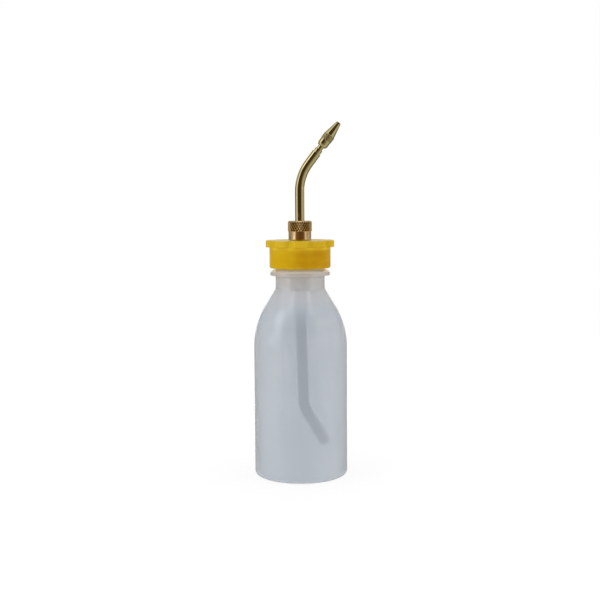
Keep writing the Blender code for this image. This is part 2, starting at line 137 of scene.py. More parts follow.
def tint(name, description, default):
    return FloatVectorProperty(
        name=name, description=description, default=default, size=3, min=0.0, max=1.0, subtype="COLOR"
    )


class OilCanBottle(bpy.types.PropertyGroup):
    """Sizes of the blown bottle."""

    radius: length("Radius", "Outer radius of the body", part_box("bottle")[1].y)
    rim: length("Rim", "Height of the rim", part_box("bottle")[1].z)
    straight: length("Straight height", "Height at which the shoulder starts", 66.85 * MM)
    wall: length("Wall", "Thickness of the body's wall", 1.0 * MM)
    corner: length("Corner", "Radius between the body and the foot", 1.9 * MM)
    foot: length("Foot width", "Width of the ring that the bottle stands on", 2.4 * MM)
    floor: length("Floor", "Thickness of the floor", 1.2 * MM)
    push_up: length("Push-up", "Rise of the base inside the foot", 1.0 * MM)
    push_up_slope: length("Push-up slope", "Width over which the base rises", 2.0 * MM)
    shoulder: length("Shoulder", "Radius of the shoulder's curve", 40.4 * MM)
    shoulder_turn: turn("Shoulder angle", "Angle that the shoulder's curve turns through", 31.2)
    shoulder_fillet: length("Shoulder fillet", "Radius between the shoulder and the neck", 3.0 * MM)
    neck: length("Neck radius", "Outer radius of the neck", 12.7 * MM)
    neck_wall: length("Neck wall", "Thickness of the neck's wall", 1.5 * MM)
    neck_length: length("Neck length", "Height of the plain neck under the ring", 6.8 * MM)
    ring: length("Ring overhang", "How far the ring stands out from the neck", 2.75 * MM)
    ring_edge: length("Ring edge", "Height of the ring's upright edge", 2.0 * MM)
    ring_slope: length("Ring slope", "Height of the ring's sloping top", 1.2 * MM)
    round: length("Edge round", "Rounding of the moulded edges", 0.35 * MM)
    columns: count("Columns", "Faces around the bottle", 160)


class OilCanThread(bpy.types.PropertyGroup):
    """Sizes of the coarse thread on the neck and in the cap."""

    pitch: length("Pitch", "Rise in one turn", 3.0 * MM)
    depth: length("Depth", "Height of the ridge", 1.15 * MM)
    root: length("Root width", "Width of the ridge at the wall", 1.5 * MM)
    crest: length("Crest width", "Width of the ridge at its top", 0.7 * MM)
    sink: length("Sink", "How deep the ridge is sunk into the wall that carries it", 0.5 * MM)
    drop: length("Drop", "From the rim down to the upper end of the neck thread", 2.1 * MM)
    start: turn("Start", "Angle at which the ridge starts", 90.0)
    clearance: length("Clearance", "Gap between the neck's and the cap's thread", 0.3 * MM)
    neck_turns: FloatProperty(name="Neck turns", description="Turns on the neck", default=2.25, min=0.5)
    cap_turns: FloatProperty(name="Cap turns", description="Turns in the cap", default=1.5, min=0.5)
    columns: count("Columns", "Faces in one turn", 64)


class OilCanCap(bpy.types.PropertyGroup):
    """Sizes of the lobed screw cap."""

    flange: length("Flange radius", "Radius over the lobes", reach("screw_cap"))
    bottom: length("Skirt bottom", "Height of the skirt's lower edge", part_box("screw_cap")[0].z)
    top: length("Top", "Height of the cap's top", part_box("screw_cap")[1].z)
    plate: length("Plate", "Thickness of the top plate", 2.0 * MM)
    skirt_wall: length("Skirt wall", "Thickness of the skirt", 1.55 * MM)
    flange_height: length("Flange height", "Height of the lobed flange", 3.4 * MM)
    hole: length("Hole", "Radius of the hole for the brass fitting", 4.3 * MM)
    skirt_round: length("Skirt round", "Rounding of the skirt's lower edge", 1.0 * MM)
    round: length("Edge round", "Rounding of the moulded edges", 0.35 * MM)
    bead: length("Bead", "How far the bead under the disc stands in", 0.8 * MM)
    bead_height: length("Bead height", "Height of each half of the bead", 0.5 * MM)
    lobes: count("Lobes", "Lobes round the flange", 10)
    lobe_root: length("Lobe root", "How far the gaps stand out from the skirt", 0.3 * MM)
    lobe_gap: turn("Lobe gap", "Half the angle of a gap's floor", 2.0)
    lobe_flank: turn("Lobe flank", "Angle of a lobe's flank", 8.0)
    columns: count("Columns in a lobe", "Faces around each lobe", 20)


class OilCanNut(bpy.types.PropertyGroup):
    """Sizes of the knurled gland nut."""

    knurl_radius: length("Knurl radius", "Radius over the knurls", reach("knurled_nut"))
    bottom: length("Bottom", "Height of the nut's underside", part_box("knurled_nut")[0].z)
    top: length("Top", "Height of the nut's top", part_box("knurled_nut")[1].z)
    proud: length("Knurl proud", "How far the knurls stand out from the plain part", 0.27 * MM)
    plain: length("Plain height", "Height of the plain part", 4.5 * MM)
    bore: length("Bore", "Radius of the bore", 4.15 * MM)
    lip: length("Lip", "Thickness of the lip over the seal", 1.6 * MM)
    hole: length("Hole", "Radius of the hole for the spout", 2.7 * MM)
    chamfer: length("Chamfer", "Chamfer at the top", 0.6 * MM)
    round: length("Edge break", "Rounding of the turned edges", 0.12 * MM)
    knurls: count("Knurls", "Knurls round the nut", 28)
    knurl_depth: length("Knurl depth", "Depth of the grooves", 0.36 * MM)
    knurl_row: length("Knurl row", "Height from one row of knurls to the next", 1.15 * MM)
    steps: count("Knurl steps", "Faces across each knurl", 10)


class OilCanSpout(bpy.types.PropertyGroup):
    """Sizes of the bent spout tube."""

    bottom: length("Bottom", "Height of the collar's underside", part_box("spout_tube")[0].z)
    radius: length("Radius", "Outer radius of the tube", 2.4 * MM)
    wall: length("Wall", "Thickness of the tube's wall", 0.7 * MM)
    collar: length("Collar overhang", "How far the collar stands out", 1.2 * MM)
    collar_height: length("Collar height", "Height of the collar", 1.0 * MM)
    straight: length("Straight length", "Length below the bend", 19.4 * MM)
    bend: length("Bend radius", "Radius of the bend's middle line", 23.1 * MM)
    bend_turn: turn("Bend angle", "Angle of the bend", 37.0)
    end: length("End length", "Straight length past the bend", 6.9 * MM)
    round: length("Edge round", "Rounding of the tube's end", 0.12 * MM)
    columns: count("Columns", "Faces around the tube", 72)
    bend_steps: count("Bend steps", "Faces along the bend", 48)


class OilCanNozzle(bpy.types.PropertyGroup):
    """Sizes of the stem in the spout's end and of the adjustable tip, along the nozzle's own axis."""

    seat: length("Seat", "Gap between the tube's end and the stem's shoulder", 0.2 * MM)
    plug_radius: length("Plug radius", "Radius of the plug in the tube", 1.55 * MM)
    plug: length("Plug", "Length of the plug", 4.0 * MM)
    shoulder_radius: length("Shoulder radius", "Radius of the stem's shoulder", 2.0 * MM)
    shoulder: length("Shoulder", "Length of the shoulder", 2.05 * MM)
    neck_radius: length("Neck radius", "Radius of the stem's neck", 1.58 * MM)
    neck: length("Neck", "Length of the neck that shows", 1.7 * MM)
    thread: length("Thread", "Length of the stem inside the tip", 5.0 * MM)
    stem_bore: length("Stem bore", "Radius of the stem's bore", 0.8 * MM)
    clearance: length("Clearance", "Gap between the stem and the tip's socket", 0.15 * MM)
    radius: length("Tip radius", "Radius of the tip's plain part", 2.8 * MM)
    foot_round: length("Foot round", "Height of the tip's rounded foot", 2.0 * MM)
    plain: length("Plain", "Length of the plain part", 1.9 * MM)
    knurl_row: length("Knurl row", "Length of one row of knurls", 0.76 * MM)
    knurl_rows: count("Knurl rows", "Rows of knurls", 4)
    knurls: count("Knurls", "Knurls round the tip", 20)
    knurl_proud: length("Knurl proud", "How far the knurls stand out", 0.14 * MM)
    knurl_depth: length("Knurl depth", "Depth of the grooves", 0.1 * MM)
    cone: length("Cone", "Length of the cone", 7.29 * MM)
    end_radius: length("End radius", "Radius of the cone's end", 1.23 * MM)
    end_round: length("End round", "Rounding of the cone's end", 0.5 * MM)
    step: length("Step", "Small step between the knurls and the cone", 0.15 * MM)
    stem_break: length("Stem chamfer", "Rounding of the stem's shoulder and end", 0.25 * MM)
    orifice: length("Orifice", "Radius of the orifice", 0.5 * MM)
    run_out: length("Run-out", "Length of the socket past the stem", 1.5 * MM)
    round: length("Edge break", "Rounding of the turned edges", 0.1 * MM)
    steps: count("Knurl steps", "Faces across each knurl", 8)


class OilCanInside(bpy.types.PropertyGroup):
    """Sizes of the brass fitting through the cap and of the dip tube under it."""

    shank: length("Shank radius", "Radius of the shank that the nut screws onto", 4.0 * MM)
    top: length("Top", "Height of the shank's top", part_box("nipple")[1].z)
    bottom: length("Bottom", "Height of the barrel's lower end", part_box("nipple")[0].z)
    clamp_radius: length("Clamp radius", "Radius of the flange under the cap", 7.0 * MM)
    clamp_top: length("Clamp top", "Height of the flange's upper face", 119.288 * MM)
    clamp: length("Clamp", "Thickness of the flange", 2.0 * MM)
    barrel: length("Barrel", "Radius of the barrel", 4.65 * MM)
    socket: length("Socket", "Radius of the barrel's socket", 2.9 * MM)
    socket_depth: length("Socket depth", "Depth of the socket", 10.0 * MM)
    oil_bore: length("Oil bore", "Radius of the bore for the oil", 1.6 * MM)
    round: length("Edge break", "Rounding of the turned edges", 0.2 * MM)
    pitch: length("Thread pitch", "Pitch of the fine thread on the shank", 1.0 * MM)
    thread_depth: length("Thread depth", "Depth of the fine thread", 0.35 * MM)
    dip: length("Dip tube radius", "Outer radius of the dip tube", 2.75 * MM)
    dip_wall: length("Dip tube wall", "Thickness of the dip tube's wall", 0.9 * MM)
    dip_top: length("Dip tube top", "Height of the dip tube's upper end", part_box("dip_tube")[1].z)
    dip_bottom: length("Dip tube bottom", "Height of the dip tube's lowest point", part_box("dip_tube")[0].z)
    dip_slack: length("Dip tube slack", "How far below the barrel it starts to lean", 1.0 * MM)
    dip_lean_radius: length("Dip tube lean radius", "Radius of the slight bend below the barrel", 150.0 * MM)
    dip_lean: turn("Dip tube lean", "Angle that it leans by", 1.5)
    dip_bend: length("Dip tube bend", "Radius of the bend at its foot", 10.0 * MM)
    dip_turn: turn("Dip tube angle", "Angle of its end from the vertical", 31.0)
    dip_end: length("Dip tube end", "Straight length past its bend", 19.7 * MM)
    columns: count("Columns", "Faces around these pieces", 72)
    bend_steps: count("Bend steps", "Faces along the dip tube's bend", 32)


class OilCanColours(bpy.types.PropertyGroup):
    """Colours of the finishes, and how much the bottle and the dip tube cover."""

    bottle: tint("Bottle", "Milky plastic", (0.565, 0.624, 0.706))
    # Warmer where the neck is thick, and partly painted warm light from the yellow cap
    bottle_neck: tint("Bottle's neck", "Milky plastic where it is thick", (0.62, 0.595, 0.58))
    # Painted light: the neck under the ring is painted lighter, to fill the shade of the ring
    bottle_under_ring: tint("Neck under the ring", "Milky plastic lit under the ring", (0.755, 0.71, 0.675))
    bottle_ring: tint("Bottle's ring", "Milky plastic in the thick ring under the cap", (0.545, 0.493, 0.438))
    # Painted light: the ring's top is painted lighter, to fill the shade between the ring and the cap
    bottle_ring_top: tint("Ring's top", "Milky plastic lit between the ring and cap", (0.67, 0.645, 0.615))
    bottle_outside: share("Outside cover", "How much the outer skin hides what is behind it", 0.62)
    bottle_inside: share("Inside cover", "How much the inner skin hides what is behind it", 0.16)
    neck_outside: share("Neck's outside cover", "How much the neck's outer skin hides", 0.94)
    neck_inside: share("Neck's inside cover", "How much the neck's inner skin hides", 0.6)
    cap: tint("Cap", "Yellow plastic", (0.71, 0.48, 0.018))
    # Painted shade and painted light: the skirt is painted deeper under the flange and deepest along a line
    # on the +X side, paler towards -X where the key lamp stands
    cap_deep: tint("Cap, deep", "Yellow plastic low on the skirt, at the mould's line", (0.54, 0.265, 0.0))
    cap_pale: tint("Cap, pale", "Yellow plastic low on the skirt, away from that line", (0.68, 0.42, 0.0))
    # A painted glow: the lip's inside emits this light, standing in for light that comes through
    cap_glow: tint("Cap's glow", "Light that comes through inside the lip", (0.66, 0.52, 0.22))
    tube: tint("Spout", "Polished brass", (0.70, 0.60, 0.30))
    nut: tint("Nut", "Turned brass", (0.74, 0.53, 0.28))
    tarnish: tint("Tarnish", "Brass where it has dulled", (0.34, 0.20, 0.08))
    # Painted shade down in the knurls' grooves, with some oil and dirt, and the oil on the tip's end
    groove_shade_and_dirt: tint("Groove shade and dirt", "Oil and dirt in the grooves", (0.035, 0.02, 0.01))
    dip: tint("Dip tube", "Natural plastic tubing", (0.39, 0.415, 0.448))
    # Painted light: the tubing is painted paler near its lower end
    dip_foot: tint("Dip tube's foot", "Natural plastic tubing near its lower end", (0.485, 0.482, 0.487))
    dip_cover: share("Dip tube cover", "How much the dip tube hides what is behind it", 0.8)
    foam: tint("Foam", "Closed-cell foam of the sealing disc", (0.78, 0.78, 0.74))
    rubber: tint("Rubber", "Rubber of the gland seal", (0.018, 0.018, 0.018))


class OilCanStage(bpy.types.PropertyGroup):
    """The camera, the floor and the light."""

    lens: FloatProperty(
        name="Lens", description="Focal length on a 36 mm sensor", default=60.0, unit="CAMERA"
    )
    distance: length("Distance", "From the bottle's axis to the camera", 513.7 * MM)
    height: length("Height", "Height of the camera", 139.45 * MM)
    aside: FloatProperty(
        name="Aside", description="How far the camera stands to the right", default=-0.15 * MM, unit="LENGTH"
    )
    pitch: turn("Pitch", "How far the camera looks down", 5.43)
    roll: turn("Roll", "How far the camera leans", -0.35)
    floor: length("Floor", "Radius of the floor", 600 * MM)
    fill: FloatProperty(name="Fill", description="Even light from all sides", default=0.78, min=0.0)
    key: power("Key", "Power of the lamp at the left", 1.0)
    side: power("Side", "Power of the lamp at the right", 0.76)
    overhead: power("Overhead", "Power of the lamp above", 0.6)


class OilCan(bpy.types.PropertyGroup):
    """All the settings of the oil can."""

    bottle: PointerProperty(type=OilCanBottle)
    thread: PointerProperty(type=OilCanThread)
    cap: PointerProperty(type=OilCanCap)
    nut: PointerProperty(type=OilCanNut)
    spout: PointerProperty(type=OilCanSpout)
    nozzle: PointerProperty(type=OilCanNozzle)
    inside: PointerProperty(type=OilCanInside)
    colours: PointerProperty(type=OilCanColours)
    stage: PointerProperty(type=OilCanStage)


def arc(centre_r, centre_z, radius, start, end, steps):
    """Corners (radius, height, round) along an arc, its angles from the radius axis towards the height."""
    corners = []
    for step in range(steps + 1):
        angle = start + (end - start) * step / steps
        corners.append((centre_r + radius * math.cos(angle), centre_z + radius * math.sin(angle), 0.0))
    return corners


def domed(inner, outer, low, high):
    """Corners up a rounded foot, from its inner radius at the bottom to its full radius at the top."""
    wide, tall = outer - inner, high - low
    quarter = arc(0.0, 0.0, 1.0, -math.pi / 2, 0.0, DOME_STEPS)
    return [(inner + wide * r, high + tall * z, 0.0) for r, z, _ in quarter]


def turned(corners, columns, marked=()):
    """A closed body turned about Z from the corners (radius, height, round) of its outline.

    The outline closes on itself, or starts and ends on the axis. The corners numbered in marked, and the
    faces between them, carry 1 in the vertex layer named inside.
    """
    bm = bmesh.new()
    inside = bm.verts.layers.float.new("inside")
    verts = [bm.verts.new((r, 0.0, z)) for r, z, _ in corners]
    for index in marked:
        verts[index][inside] = 1.0
    edges = [bm.edges.new(pair) for pair in zip(verts, verts[1:])]
    if corners[0][0] > 0:
        edges.append(bm.edges.new((verts[-1], verts[0])))
    for vert, (_, _, size) in zip(verts, corners):
        if size:
            bmesh.ops.bevel(
                bm,
                geom=[vert],
                offset=size,
                segments=ROUND_STEPS,
                profile=0.5,
                affect="VERTICES",
                material=-1,
            )
    outline = [*bm.verts, *bm.edges]
    bmesh.ops.spin(bm, geom=outline, axis=(0, 0, 1), angle=math.tau, steps=columns, use_merge=True)
    bmesh.ops.remove_doubles(bm, verts=bm.verts, dist=WELD)
    bmesh.ops.recalc_face_normals(bm, faces=bm.faces)
    return bm


def parts_of(faces):
    """The faces with their corners and edges, each once and always in the same order."""
    verts = dict.fromkeys(vert for face in faces for vert in face.verts)
    edges = dict.fromkeys(edge for face in faces for edge in face.edges)
    return [*verts, *edges, *faces]


def faces_of(geometry):
    return [item for item in geometry if isinstance(item, bmesh.types.BMFace)]


def faces_at(bm, height):
    """The faces of a body that lie flat at one height."""
    near = 0.001 * MM
    return [face for face in bm.faces if all(abs(vert.co.z - height) < near for vert in face.verts)]


def bent(bm, faces, centre, angle, steps):
    """Sweeps the end faces of a tube round an axis along Y, and returns the faces at the new end."""
    swept = bmesh.ops.spin(bm, geom=parts_of(faces), cent=centre, axis=(0, 1, 0), angle=angle, steps=steps)
    return faces_of(swept["geom_last"])


def drawn(bm, faces, offset):
    """Draws the end faces of a tube out along a straight run."""
    made = bmesh.ops.extrude_face_region(bm, geom=parts_of(faces))["geom"]
    moved = [item for item in made if isinstance(item, bmesh.types.BMVert)]
    bmesh.ops.translate(bm, verts=moved, vec=offset)
    return faces_of(made)


def eased(bm, faces, size):
    """Rounds the two rims of a tube's end."""
    rims = dict.fromkeys(
        edge for face in faces for edge in face.edges if not all(other in faces for other in edge.link_faces)
    )
    bmesh.ops.bevel(
        bm,
        geom=list(rims),
        offset=size,
        segments=CHAMFER_STEPS,
        profile=0.5,
        affect="EDGES",
        material=-1,
        clamp_overlap=True,
    )


def helix(root_r, crest_r, root, crest, pitch, turns, columns, start):
    """A helical ridge that rises from z = 0 and runs out at both of its ends."""
    bm = bmesh.new()
    section = [(root_r, -root / 2), (crest_r, -crest / 2), (crest_r, crest / 2), (root_r, root / 2)]
    first = bm.faces.new([bm.verts.new((r, 0.0, z)) for r, z in section])
    steps = round(columns * turns)
    rise = (0.0, 0.0, pitch * turns / steps)
    swept = bmesh.ops.spin(
        bm, geom=parts_of([first]), axis=(0, 0, 1), dvec=rise, angle=math.tau * turns, steps=steps
    )
    last = faces_of(swept["geom_last"])[0]
    for vert in {*first.verts, *last.verts}:
        radius = vert.co.xy.length
        if abs(radius - crest_r) < abs(radius - root_r):
            vert.co.xy *= (root_r + RUN_OUT * (crest_r - root_r)) / radius
    bmesh.ops.rotate(bm, verts=bm.verts, matrix=Matrix.Rotation(start, 3, "Z"))
    bmesh.ops.recalc_face_normals(bm, faces=bm.faces)
    return bm


def coarse_ridge(thread, root_r, crest_r, turns):
    """The ridge of the bottle's or the cap's coarse thread."""
    return helix(
        root_r, crest_r, thread.root, thread.crest, thread.pitch, turns, thread.columns, thread.start
    )


def united(bm, ridge, height):
    """Joins a thread ridge, whose zero goes to the given height, to the wall that it is sunk into."""
    bmesh.ops.translate(ridge, verts=ridge.verts, vec=(0.0, 0.0, height))
    body = bare_object("body", bm)
    tool = bare_object("ridge", ridge)
    join = body.modifiers.new("join", "BOOLEAN")
    join.operation = "UNION"
    join.object = tool
    evaluated = body.evaluated_get(bpy.context.evaluated_depsgraph_get())
    joined = bmesh.new()
    joined.from_mesh(evaluated.data)
    for item in (body, tool):
        mesh = item.data
        bpy.data.objects.remove(item, do_unlink=True)
        bpy.data.meshes.remove(mesh)
    return joined


def bare_object(name, bm):
    """The object of a body, which is freed."""
    mesh = bpy.data.meshes.new(name)
    bm.to_mesh(mesh)
    bm.free()
    made = bpy.data.objects.new(name, mesh)
    bpy.context.scene.collection.objects.link(made)
    return made


def rows_of(radius, low, high, rows):
    """Corners up the side of a band that is cut into rows."""
    return [(radius, low + (high - low) * row / rows, 0.0) for row in range(rows + 1)]


def knurled(bm, radius, low, row_height, rows, knurls, depth):
    """Cuts two crossed families of helical grooves into the band of a turned body, which leaves diamonds."""
    near = 0.004 * MM
    top = low + rows * row_height
    band = {
        vert
        for vert in bm.verts
        if abs(vert.co.xy.length - radius) < near and low - near < vert.co.z < top + near
    }
    faces = [face for face in bm.faces if all(vert in band for vert in face.verts)]
    for vert in band:
        around = math.atan2(vert.co.y, vert.co.x) / math.tau * knurls
        along = (vert.co.z - low) / row_height / 2
        to_groove = min(abs(t - round(t)) for t in (around + along, around - along))
        share_left = max(0.0, 1 - to_groove / GROOVE_REACH)
        vert.co.xy *= (radius - depth * share_left) / radius
    for face in faces:
        a, b, c, d = face.verts
        deeper = (a, c) if a.co.xy.length + c.co.xy.length < b.co.xy.length + d.co.xy.length else (b, d)
        bmesh.utils.face_split(face, *deeper)


def piece(name, bm, finishes, body, node):
    """Makes the object of a finished body, in the place of the frame's node."""
    made = bare_object(name, bm)
    for finish in finishes:
        made.data.materials.append(finish)
    made.data.shade_smooth()
    made.data.set_sharp_from_angle(angle=SHARP_ANGLE)
    # Large faces keep their own direction, so a rounded edge doesn't bend the reflections beside it.
    made.modifiers.new("weighted_normals", "WEIGHTED_NORMAL").keep_sharp = True
    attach(made, body)
    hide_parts(node)
    return made


class Board:
    """Adds nodes to a node tree, and fills their inputs with values or with other nodes' outputs."""

    def __init__(self, tree):
        self.tree = tree
        self.tree.nodes.clear()

    def node(self, kind, inputs=None, **settings):
        made = self.tree.nodes.new(kind)
        made.location = (180 * len(self.tree.nodes), 0)
        for name, value in settings.items():
            setattr(made, name, value)
        for key, value in (inputs or {}).items():
            self.fill(made.inputs[key], value)
        return made

    def fill(self, socket, value):
        if isinstance(value, bpy.types.NodeSocket):
            self.tree.links.new(value, socket)
        else:
            socket.default_value = value

    def math(self, operation, first, second=0.0, clamp=False):
        made = self.node("ShaderNodeMath", {0: first, 1: second}, operation=operation, use_clamp=clamp)
        return made.outputs[0]

    def mix(self, factor, first, second):
        made = self.node("ShaderNodeMix", data_type="RGBA")
        self.fill(made.inputs[MIX_FACTOR], factor)
        self.fill(made.inputs[MIX_A], first)
        self.fill(made.inputs[MIX_B], second)
        return made.outputs[MIX_RESULT]

    def ranged(self, value, low, high, to_low=0.0, to_high=1.0):
        """The value's place between low and high, eased at both ends, as a number from to_low to to_high."""
        inputs = {"Value": value, "From Min": low, "From Max": high, "To Min": to_low, "To Max": to_high}
        made = self.node("ShaderNodeMapRange", inputs, interpolation_type="SMOOTHSTEP")
        return made.outputs["Result"]

    def object_place(self):
        return self.node("ShaderNodeTexCoord").outputs["Object"]

    def parts(self, vector):
        return self.node("ShaderNodeSeparateXYZ", {"Vector": vector}).outputs

    def length(self, vector):
        return self.node("ShaderNodeVectorMath", {0: vector}, operation="LENGTH").outputs["Value"]

    def radius(self, parts):
        """The distance from the Z axis, from a vector's parts."""
        return self.length(self.node("ShaderNodeCombineXYZ", {"X": parts["X"], "Y": parts["Y"]}).outputs[0])

    def use(self, group, inputs):
        made = self.node("ShaderNodeGroup", node_tree=group)
        for name, value in inputs.items():
            self.fill(made.inputs[name], value)
        return made.outputs

    def spots(self, vector, patch_scale, grain_scale):
        return self.use(mottle(), {"Vector": vector, "Patch Scale": patch_scale, "Grain Scale": grain_scale})

    def smears(self, vector, scale):
        return self.use(handling(), {"Vector": vector, "Scale": scale})["Smears"]

    def blend(self, factor, first, second):
        """A mix of two shaders."""
        return self.node("ShaderNodeMixShader", {0: factor, 1: first, 2: second}).outputs[0]

    def rays(self):
        """The kinds of ray, and whether one shows the surface to the camera, also through clear pieces."""
        kinds = self.node("ShaderNodeLightPath").outputs
        return kinds, self.math("MAXIMUM", kinds["Is Camera Ray"], kinds["Is Transmission Ray"])

    def bump(self, height, distance, strength):
        inputs = {"Height": height, "Distance": distance, "Strength": strength}
        return self.node("ShaderNodeBump", inputs).outputs[0]


def colour(value):
    return (*value, 1.0)


def scaled(tone, factor):
    """A colour made paler or darker, and kept within 1."""
    return colour([min(1.0, part * factor) for part in tone])


def group(name, scales, outputs):
    """A node group that takes a vector and named scales, with its board, its source and its sink."""
    made = bpy.data.node_groups.new(name, "ShaderNodeTree")
    made.interface.new_socket("Vector", in_out="INPUT", socket_type="NodeSocketVector")
    for label, default in scales.items():
        socket = made.interface.new_socket(label, in_out="INPUT", socket_type="NodeSocketFloat")
        socket.default_value = default
    for label in outputs:
        made.interface.new_socket(label, in_out="OUTPUT", socket_type="NodeSocketFloat")
    board = Board(made)
    source = board.node("NodeGroupInput").outputs
    return made, board, source, board.node("NodeGroupOutput").inputs


def mottle():
    """Soft patches and a fine grain, both about 0.5 on average."""
    if "mottle" in bpy.data.node_groups:
        return bpy.data.node_groups["mottle"]
    scales = {"Patch Scale": 60.0, "Grain Scale": 1500.0}
    made, board, source, sink = group("mottle", scales, ["Patches", "Grain"])
    for label, scale, detail in (("Patches", "Patch Scale", 3.0), ("Grain", "Grain Scale", 2.0)):
        inputs = {"Vector": source["Vector"], "Scale": source[scale], "Detail": detail}
        board.fill(sink[label], board.node("ShaderNodeTexNoise", inputs).outputs["Fac"])
    return made


def lathe_marks():
    """Fine rings round the Z axis, on the sides and on the end faces of a turned piece."""
    if "lathe_marks" in bpy.data.node_groups:
        return bpy.data.node_groups["lathe_marks"]
    made, board, source, sink = group("lathe_marks", {"Scale": 4000.0}, ["Rings", "Radius"])
    parts = board.parts(source["Vector"])
    radius = board.radius(parts)
    unrolled = board.node("ShaderNodeCombineXYZ", {"X": radius, "Z": parts["Z"]}).outputs[0]
    rings = board.node("ShaderNodeTexNoise", {"Vector": unrolled, "Scale": source["Scale"], "Detail": 1.0})
    board.fill(sink["Rings"], rings.outputs["Fac"])
    board.fill(sink["Radius"], radius)
    return made


def handling():
    """Faint smears, for the roughness of what is touched."""
    if "handling" in bpy.data.node_groups:
        return bpy.data.node_groups["handling"]
    made, board, source, sink = group("handling", {"Scale": 90.0}, ["Smears"])
    inputs = {"Vector": source["Vector"], "Scale": source["Scale"], "Detail": 4.0, "Distortion": 1.2}
    noise = board.node("ShaderNodeTexNoise", inputs).outputs["Fac"]
    board.fill(sink["Smears"], board.ranged(noise, 0.42, 0.68))
    return made


def finish(name, values):
    """A material with one Principled shader, and the board that its pattern is laid out on."""
    made = bpy.data.materials.new(name)
    made.use_nodes = True
    board = Board(made.node_tree)
    shader = board.node("ShaderNodeBsdfPrincipled", values)
    board.fill(board.node("ShaderNodeOutputMaterial").inputs["Surface"], shader.outputs["BSDF"])
    return made, board, shader.inputs


def milky_plastic(name, colours, cover, neck_cover, levels):
    """Natural polyethylene: it takes light in, glows evenly, and lets dark things behind it show softly.

    The wall thickens towards the neck, where it hides more and looks warmer, partly as painted warm light
    from the yellow cap. The neck under the ring and the ring's top are painted lighter: painted light that
    fills the shade there. The levels name the heights.
    """
    made, board, inputs = finish(
        name,
        {
            "Subsurface Weight": 1.0,
            "Subsurface Radius": (4.0, 4.0, 4.0),
            "Subsurface Scale": 1.0 * MM,
            "IOR": 1.5,
            "Specular IOR Level": 0.9,
            "Coat Weight": 0.8,
            "Coat IOR": 1.7,
            "Coat Roughness": 0.12,
        },
    )
    place = board.object_place()
    parts = board.parts(place)
    spots = board.spots(place, 45.0, 2200.0)
    skin = board.mix(spots["Patches"], scaled(colours.bottle, 0.97), scaled(colours.bottle, 1.03))
    # The neck's warm tone is partly painted warm light from the cap; the neck under the ring and the ring's
    # top are painted lighter, as painted light that fills their shade.
    for level, tone in (
        ("warm", colours.bottle_neck),
        ("painted light under ring", colours.bottle_under_ring),
        ("ring", colours.bottle_ring),
        ("painted light on ring top", colours.bottle_ring_top),
    ):
        skin = board.mix(board.ranged(parts["Z"], *levels[level]), skin, colour(tone))
    board.fill(inputs["Base Color"], skin)
    board.fill(inputs["Alpha"], board.ranged(parts["Z"], *levels["hiding"], cover, neck_cover))
    board.fill(inputs["Roughness"], board.ranged(board.smears(place, 70.0), 0.0, 1.0, 0.2, 0.26))
    # The fine line that the two halves of the mould leave on both sides of a blown bottle
    parting = board.ranged(board.math("ABSOLUTE", parts["Y"]), 0.25 * MM, 0.05 * MM)
    height = board.math("MULTIPLY_ADD", spots["Grain"], 0.15)
    board.fill(height.node.inputs[2], parting)
    board.fill(inputs["Normal"], board.bump(height, 0.05 * MM, 0.6))
    return made


